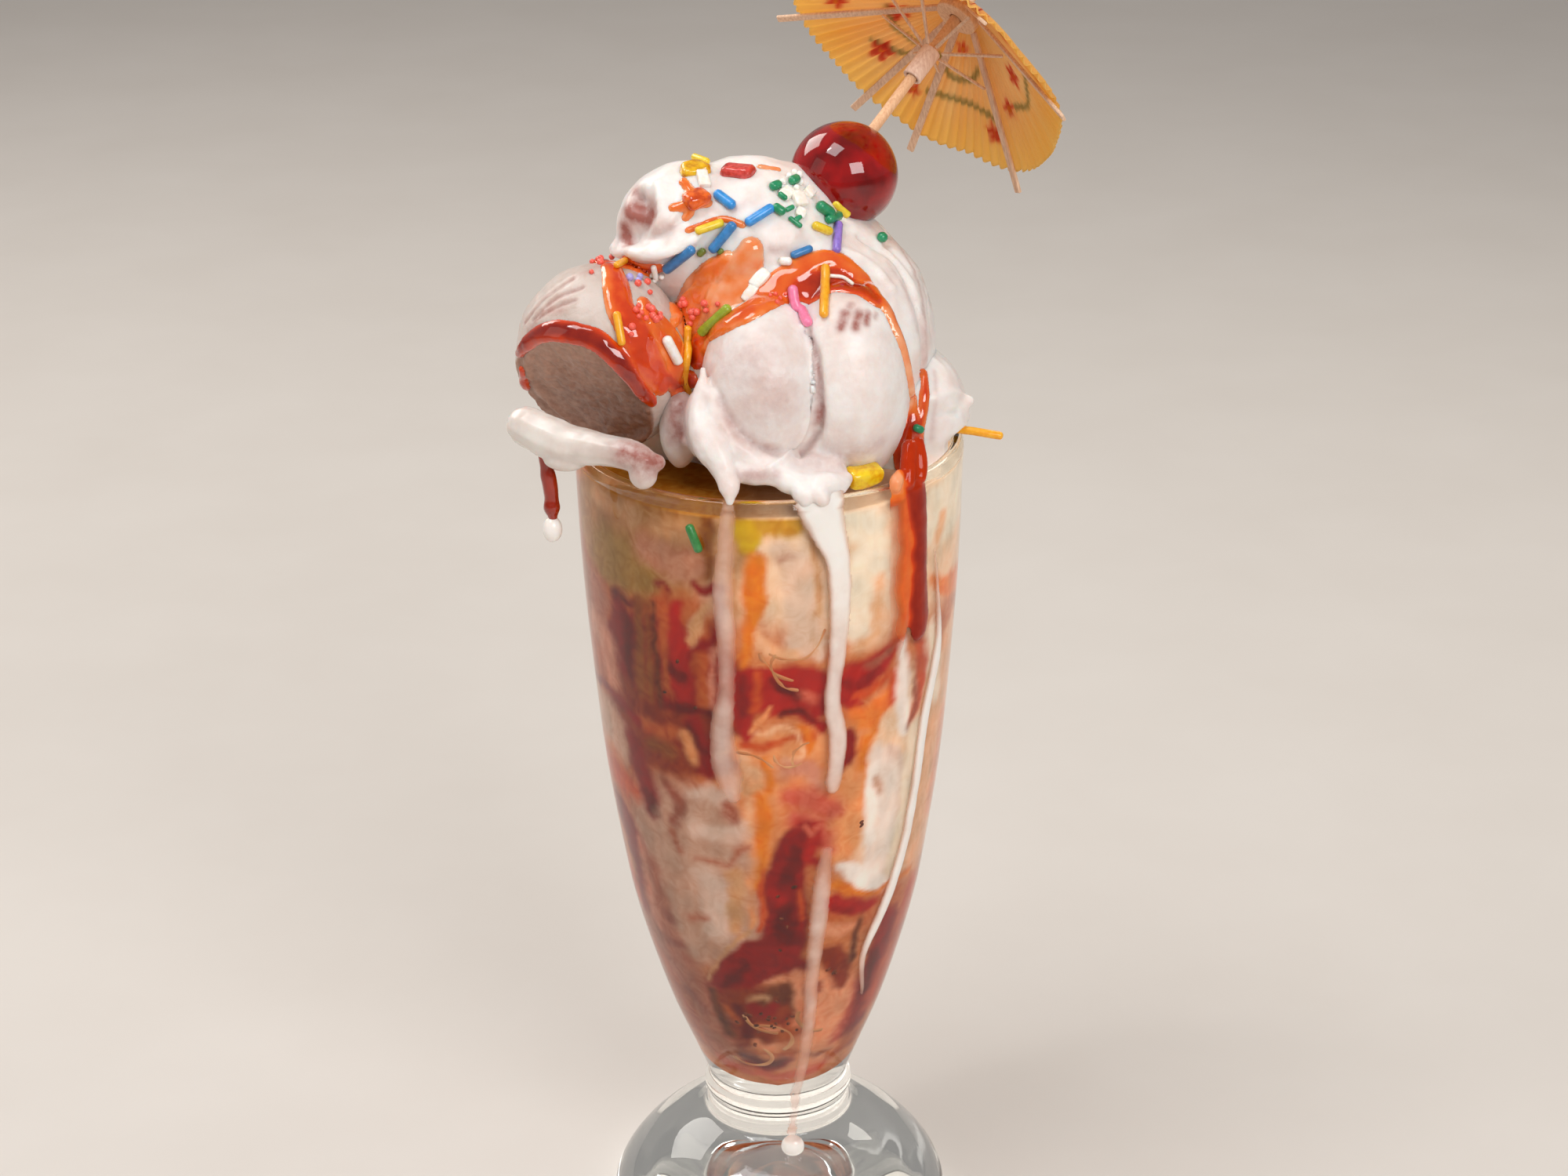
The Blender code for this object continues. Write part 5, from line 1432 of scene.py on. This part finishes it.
# Print on the paper: blossoms as (distance from the stick, angle, size), stems as routes.
BLOSSOMS = [(16.5, 92, 2.6), (26.0, 68, 2.8), (28.5, 43, 1.8), (29.6, 356, 2.4), (18.5, 311, 2.6),
            (24.0, 338, 2.0), (28.5, 106, 2.4), (22.5, 150, 2.8), (30.0, 172, 2.2), (18.0, 205, 2.6),
            (28.0, 232, 2.8),
            (31.5, 270, 2.2),
            (19.0, 262, 2.4), (31.0, 132, 2.0), (12.0, 20, 1.6)]
STEMS = [[(18, 100), (19, 80), (18, 62), (17, 45)], [(26, 76), (23, 62), (20, 52)],
         [(16.5, 40), (20, 26), (19, 10), (16, 2)], [(26.5, 36), (25, 14), (26.5, 352)],
         [(22.5, 290), (25.5, 312), (24, 330)],
         [(19, 140), (23, 160), (28, 168)],
         [(15, 195), (20, 214), (27, 226)], [(18, 250), (25, 262), (30, 275)],
         [(28, 120), (26, 135), (22, 148)]]


def parasol_frame():
    """The stand's own axes: down the slope, across it, and up the stick."""
    way = np.array(PARASOL_WAY)
    down = np.array((math.cos(LEAN_ROUND) * math.sin(LEAN_UP), math.sin(LEAN_ROUND) * math.sin(LEAN_UP),
                     -math.cos(LEAN_UP)))
    return down, np.cross(way, down), way


def to_parasol(piece):
    """Stand a piece that was made round the origin, in millimetres along Z, on the parasol's stick."""
    down, across, way = parasol_frame()
    matrix = Matrix((Vector(down), Vector(across), Vector(way))).transposed().to_4x4()
    piece.matrix_world = Matrix.Translation(at(*APEX)) @ matrix
    pick(piece)
    settle()


def make_canopy():
    """Crepe paper, pleated round and printed, stiff enough to hold its cone."""
    inner = STICK[0] + 0.3
    start_fresh()
    bpy.ops.mesh.primitive_circle_add(vertices=PLEATS * PLEAT_STEPS, radius=inner * MM, fill_type="NOTHING")
    piece = bpy.context.object
    bpy.ops.object.mode_set(mode="EDIT")
    radius = inner
    for count in range(CANOPY_RINGS):
        wider = inner + (CANOPY_RADIUS - inner) * ((count + 1) / CANOPY_RINGS)
        bpy.ops.mesh.extrude_region_move()
        bpy.ops.transform.resize(value=(wider / radius, wider / radius, 1.0))
        radius = wider
    bpy.ops.object.mode_set(mode="OBJECT")
    flat = np.empty(len(piece.data.vertices) * 3, np.float32)
    piece.data.vertices.foreach_get("co", flat)
    points = flat.reshape(-1, 3).astype(float) / MM
    angle = np.arctan2(points[:, 1], points[:, 0])
    reach = np.hypot(points[:, 0], points[:, 1])
    degrees = np.degrees(angle)
    ribs = np.array([(a + 180) % 360 - 180 for a in RIB_ANGLES], float)
    away = np.abs((degrees[:, None] - ribs[None, :] + 180) % 360 - 180).min(axis=1)
    # the paper's edge draws in between ribs, most where they stand far apart
    slack = ramp(away, 2, 30)
    share = reach / CANOPY_RADIUS
    pull = 1 - 0.05 * slack * share ** 2
    ripple = np.arcsin(np.sin(angle * PLEATS)) / (math.pi / 2)
    uneven = 1 + 0.35 * np.sin(angle * 7 + 1) * np.sin(angle * 3)
    points[:, 0] *= pull
    points[:, 1] *= pull
    points[:, 2] = -CANOPY_DEPTH * (share * 0.9 + 0.1 * share ** 2)
    points[:, 2] += PLEAT_DEPTH * ripple * uneven * ramp(share, 0.08, 0.9)
    points[:, 2] += 0.9 * slack * share * np.sin(angle * 2 + 0.7)
    give_values(piece, "print", paint_paper(reach, degrees))
    piece.data.vertices.foreach_set("co", (points * MM).astype(np.float32).ravel())
    piece.data.update()
    to_parasol(piece)
    modify(piece, "SOLIDIFY", thickness=CANOPY_THICKNESS * MM, offset=-1.0)
    bpy.ops.object.mode_set(mode="EDIT")
    bpy.ops.mesh.select_all(action="SELECT")
    bpy.ops.mesh.normals_make_consistent(inside=False)
    bpy.ops.object.mode_set(mode="OBJECT")
    finish(piece, "canopy_of_pleated_paper", paper_material(), ["parasol_canopy"])


def on_paper(reach, degrees):
    """A place on the sheet laid flat, from its distance to the stick and its angle round it."""
    return reach * math.cos(math.radians(degrees)), reach * math.sin(math.radians(degrees)), 0.0


def paint_paper(reach, degrees):
    """The dyed paper's colour at each point: yellow to orange, red blossoms, grey-green stems."""
    turn = np.radians(degrees)
    flat = np.stack([reach * np.cos(turn), reach * np.sin(turn), np.zeros(len(reach))], 1)
    dye = 0.5 + 0.5 * waves(flat, 16, 51)
    streak = 0.5 + 0.5 * waves(np.stack([degrees * 0.9, reach * 0.08, 0 * reach], 1), 3.0, 52)
    mixed = np.clip(0.55 * dye + 0.45 * streak, 0, 1)
    colour = np.outer(1 - mixed, linear("FFC878")) + np.outer(mixed, linear("FFECC8"))
    # painted light: the paper is yellower towards the rim, where light glows through it; it is browner round
    # the stick
    share = reach / CANOPY_RADIUS
    for shade, cover in (("FFE080", 0.5 * ramp(share, 0.55, 1.0)),
                         ("D8A468", 0.4 * (1 - ramp(share, 0.1, 0.6)))):
        colour += cover[:, None] * (np.array(linear(shade)) - colour)
    for route in STEMS:
        gap, _ = off_trail(flat, smooth_path([on_paper(*place) for place in route], 5))
        cover = 0.6 * (1 - ramp(gap, 0.2, 1.1))
        colour += cover[:, None] * (np.array(linear("8A8C58")) - colour)
    for r, a, size in BLOSSOMS:
        arm = flat - np.array(on_paper(r, a))
        gap = np.linalg.norm(arm, axis=1)
        around = np.arctan2(arm[:, 1], arm[:, 0])
        petals = 1.25 * size * (0.78 + 0.22 * np.cos(5 * around + a))
        cover = 0.8 * (1 - ramp(gap, petals - 1.2, petals + 0.6))
        colour += cover[:, None] * (np.array(linear("DC3A28")) - colour)
        core = 1 - ramp(gap, 0.35, 0.8)
        colour += core[:, None] * (np.array(linear("E9A24A")) - colour)
    return colour


def paper_material():
    """Dyed crepe paper: matt, fibrous, and thin enough to glow with the light behind it."""
    material, tree, shader, where = new_material("dyed crepe paper", Roughness=0.8, IOR=1.45)
    paint = add_node(tree, "Attribute", attribute_name="print").outputs["Color"]
    fibres = spread(tree, speckle(tree, where, 0.9, 4.0), 0.3, 0.75)
    darker = add_node(tree, "Gamma", {"Color": paint, "Gamma": 1.05}).outputs["Color"]
    colour = blend(tree, fibres, paint, darker)
    tree.links.new(colour, shader.inputs["Base Color"])
    bumps(tree, shader, speckle(tree, where, 0.6, 3.0), 0.05, 0.5)
    glow = add_node(tree, "BsdfTranslucent", {"Color": colour})
    both = add_node(tree, "MixShader", {0: 0.76, 1: shader.outputs[0], 2: glow.outputs[0]})
    tree.links.new(both.outputs[0], tree.nodes["Material Output"].inputs["Surface"])
    return material


def wood_material(name, light, dark):
    """Birch, sliced or turned: pale, close grain running along the piece."""
    material, tree, shader, where = new_material(name, Roughness=0.55, IOR=1.5)
    down, across, way = parasol_frame()
    turn = Matrix((Vector(down), Vector(across), Vector(way))).to_4x4().to_euler()
    along = add_node(tree, "Mapping", {"Vector": where, "Rotation": turn,
                                       "Scale": (1.0, 1.0, 0.12)}).outputs[0]
    grain = spread(tree, speckle(tree, along, 0.5, 4.0), 0.35, 0.7)
    tree.links.new(blend(tree, grain, rgba(light), rgba(dark)), shader.inputs["Base Color"])
    bumps(tree, shader, grain, 0.03, 0.4)
    return material


def slat(start, end, width, thickness, angle):
    """A flat strip with softened edges, from one (reach, height) to another, at an angle round the stick."""
    run, rise = end[0] - start[0], end[1] - start[1]
    start_fresh()
    bpy.ops.mesh.primitive_cube_add(size=MM, location=(0, 0, 0))
    piece = bpy.context.object
    piece.scale = (math.hypot(run, rise), width, thickness)
    settle()
    bpy.ops.object.mode_set(mode="EDIT")
    bpy.ops.mesh.bevel(offset=thickness * 0.3 * MM, segments=2, affect="EDGES")
    bpy.ops.object.mode_set(mode="OBJECT")
    middle = Vector(((start[0] + end[0]) / 2, 0.0, (start[1] + end[1]) / 2)) * MM
    place = Matrix.Rotation(math.radians(angle), 4, "Z") @ Matrix.Translation(middle)
    piece.matrix_world = place @ Matrix.Rotation(-math.atan2(rise, run), 4, "Y")
    settle()
    return piece


def ring(outer, bore, top, bottom, edge):
    """A short turned tube round the stick, its rims rounded over."""
    start_fresh()
    bpy.ops.mesh.primitive_cylinder_add(vertices=48, radius=outer * MM, depth=(top - bottom) * MM,
                                        location=(0, 0, (top + bottom) / 2 * MM))
    piece = settle()
    bpy.ops.object.mode_set(mode="EDIT")
    bpy.ops.mesh.select_mode(type="FACE")
    bpy.ops.mesh.select_all(action="DESELECT")
    bpy.ops.object.mode_set(mode="OBJECT")
    for polygon in piece.data.polygons:
        polygon.select = abs(polygon.normal.z) > 0.9
    bpy.ops.object.mode_set(mode="EDIT")
    bpy.ops.mesh.inset(thickness=(outer - bore) * MM)
    bpy.ops.mesh.bridge_edge_loops()
    bpy.ops.mesh.select_all(action="SELECT")
    bpy.ops.mesh.normals_make_consistent(inside=False)
    bpy.ops.object.mode_set(mode="OBJECT")
    modify(piece, "BEVEL", width=edge * MM, segments=3, limit_method="ANGLE")
    return piece


def make_parasol():
    make_canopy()
    pale = wood_material("sliced birch", "F0C8A0", "D6A47A")
    collar_wood = wood_material("peeled birch tube", "F6DCCA", "DDB8A2")
    rib_wood = wood_material("dyed birch slat", "F0CCAC", "D0A484")
    slope = CANOPY_DEPTH / CANOPY_RADIUS
    drop = (RIB_CLEARANCE + CANOPY_THICKNESS + RIB_THICKNESS / 2) * math.hypot(1.0, slope)
    under = drop + RIB_THICKNESS / 2 + STRUT_THICKNESS / 2 + STRUT_CLEARANCE
    inner = HUB_RADIUS + 0.6
    for index, angle in enumerate(RIB_ANGLES, 1):
        ends = (inner, -inner * slope - drop), (RIB_REACH, -RIB_REACH * slope - drop)
        rib = slat(*ends, RIB_WIDTH, RIB_THICKNESS, angle)
        to_parasol(rib)
        finish(rib, f"rib_{index}", rib_wood, [f"parasol_rib_{index}"], smooth=False)
        ends = (COLLAR[0] + 0.6, COLLAR[2]), (STRUT_REACH, -STRUT_REACH * slope - under)
        strut = slat(*ends, STRUT_WIDTH, STRUT_THICKNESS, angle)
        to_parasol(strut)
        finish(strut, f"strut_{index}", rib_wood, [f"parasol_strut_{index}"], smooth=False)
    collar = ring(*COLLAR, 0.25)
    to_parasol(collar)
    finish(collar, "collar", collar_wood, ["parasol_collar"])
    hub_top = -HUB_RADIUS * slope - 0.9
    hub = ring(HUB_RADIUS, 1.5, hub_top, hub_top - 2.2, 0.3)
    to_parasol(hub)
    finish(hub, "hub", pale, ["parasol_hub"])
    start_fresh()
    radius, bottom, top = STICK
    bpy.ops.mesh.primitive_cylinder_add(vertices=32, radius=radius * MM, depth=(top - bottom) * MM,
                                        location=(0, 0, (top + bottom) / 2 * MM))
    stick = settle()
    modify(stick, "BEVEL", width=0.3 * MM, segments=3, limit_method="ANGLE")
    to_parasol(stick)
    finish(stick, "stick", pale, ["parasol_stick"])


# ---- noodles and basil seeds against the glass -----------------------------------------------
NOODLE_STEP = 1.3           # between the points along a noodle
# Patches as (count, angle from the front in degrees, height, half width in degrees, half height).
NOODLES = [(3, 0, 163, 4, 3), (3, 3, 134, 6, 4), (3, -8, 57, 14, 5), (1, 30, 61, 7, 4)]
SEEDS = [(22, -10, 60, 18, 9), (5, 2, 100, 8, 14), (3, -28, 150, 12, 8), (3, 33, 117, 1.2, 1.2),
         (4, 28, 78, 5, 4)]


def inner_radius(height):
    """Where the inside of the glass stands at a height."""
    outline = np.array(curved_outline(GLASS_INSIDE, 5))[::-1]
    return float(np.interp(height, outline[:, 1], outline[:, 0]))


def make_noodles():
    """Vermicelli in the milk, pressed against the glass in loose curls."""
    draw = random.Random(11)
    pieces = []
    for count, angle, height, wide, high in NOODLES:
        for _ in range(count):
            a = angle + draw.uniform(-1, 1) * wide
            z = height + draw.uniform(-1, 1) * high
            heading, bend = draw.uniform(0, FULL_TURN), draw.choice((-1, 1)) * draw.uniform(0.1, 0.32)
            path = []
            for _ in range(draw.randint(7, 13)):
                radius = inner_radius(z) - 0.55
                path.append((*around_axis(radius, a, z), draw.uniform(0.78, 0.92)))
                a += math.degrees(math.cos(heading) * NOODLE_STEP / radius)
                z += math.sin(heading) * NOODLE_STEP
                heading += bend + draw.uniform(-0.2, 0.2)
            pieces.append(tube(round_ends(smooth_path(path, 2), 0.8), 10))
    piece = join(pieces, "noodles")
    material, tree, shader, where = new_material(
        "rice vermicelli in rose milk", Roughness=0.3, IOR=1.4, Subsurface_Weight=0.4,
        Subsurface_Scale=0.001,
        Specular_IOR_Level=0.1)
    tint = spread(tree, speckle(tree, where, 9.0, 2.0), 0.38, 0.62)
    tree.links.new(blend(tree, tint, rgba("DCA070"), rgba("C27C4A")), shader.inputs["Base Color"])
    finish(piece, "vermicelli", material)


def make_seeds():
    """Soaked basil seeds, dark in their jelly."""
    draw = random.Random(12)
    pieces = []
    for count, angle, height, wide, high in SEEDS:
        for _ in range(count):
            degrees = angle + draw.gauss(0, wide * 0.5)
            z = min(height + draw.gauss(0, high * 0.5), FILL_LEVEL - 1.0)
            place = around_axis(inner_radius(z) + 0.05, degrees, z)
            size = draw.uniform(0.35, 0.5)
            lie = (0, draw.uniform(-1.2, 1.2), math.radians(degrees))
            pieces.append(ball(place, (size, size, size * 1.5), lie, segments=12, rings=8))
    piece = join(pieces, "seeds")
    material, tree, shader, where = new_material(
        "basil seed", Roughness=0.6, IOR=1.4, Specular_IOR_Level=0.0)
    tint = spread(tree, speckle(tree, where, 2.0, 2.0), 0.38, 0.62)
    tree.links.new(blend(tree, tint, rgba("4A2010"), rgba("7A3A20")), shader.inputs["Base Color"])
    finish(piece, "basil_seeds", material)


# ---- stage -----------------------------------------------------------------------------------
def make_floor():
    bpy.ops.mesh.primitive_plane_add(size=30.0, location=(0, 0, glass_low.z))
    floor = bpy.context.object
    floor.name = "floor"
    material, tree, shader, where = new_material("matt white card", Roughness=0.7)
    tint = speckle(tree, where, 60.0)
    tree.links.new(blend(tree, tint, rgba("DAD4CE"), rgba("D3CCC5")), shader.inputs["Base Color"])
    floor.data.materials.append(material)


def make_light(name, place, size, power, colour, aim=(0, 0, 190)):
    """An area lamp; its size is in metres and its power in watts."""
    data = bpy.data.lights.new(name, "AREA")
    data.shape = "RECTANGLE"
    data.size, data.size_y = size
    data.energy = power
    data.color = linear(colour)
    lamp = bpy.data.objects.new(name, data)
    bpy.context.scene.collection.objects.link(lamp)
    place, aim = at(*place), at(*aim)
    turn = (aim - place).to_track_quat("-Z", "Y").to_matrix().to_4x4()
    lamp.matrix_world = Matrix.Translation(place) @ turn


def make_studio():
    make_light("key", (560, -1020, 800), (0.7, 0.5), 8.6, "FFFFFF")
    make_light("top", (-300, -250, 1150), (0.5, 0.5), 4.3, "FFFFFF")
    make_light("glint", (-430, -120, 1020), (0.06, 0.16), 0.5, "FFFFFF", (-12, -20, 230))
    make_light("back", (-680, 640, 830), (0.6, 0.5), 5.0, "FFFAF4")
    make_light("right back", (420, 560, 760), (0.3, 0.3), 1.8, "FFFAF0", (46, 40, 285))
    make_light("left", (-900, -350, 600), (0.6, 0.5), 0.5, "FFF4EA")
    world = bpy.data.worlds.new("room")
    world.use_nodes = True
    back = world.node_tree.nodes["Background"]
    back.inputs["Color"].default_value = rgba("F3EEEA")
    back.inputs["Strength"].default_value = 0.32
    bpy.context.scene.world = world
    bpy.context.scene.view_settings.view_transform = "Standard"


make_camera()
make_floor()
make_studio()
make_glass()
make_filling()
cream = [make_mound(), make_front_scoop(), make_left_scoop(), make_right_scoop(), make_cream_run()]
syrup = make_syrup(cream)
top_tree = surface_tree([*cream, syrup])
make_noodles()
make_seeds()
make_cream_runs()
make_syrup_runs()
make_hanging_strand()
make_rods(top_tree)
make_balls(top_tree)
make_side_rods()
make_sweets(top_tree)
make_fruit()
make_cherry()
make_parasol()
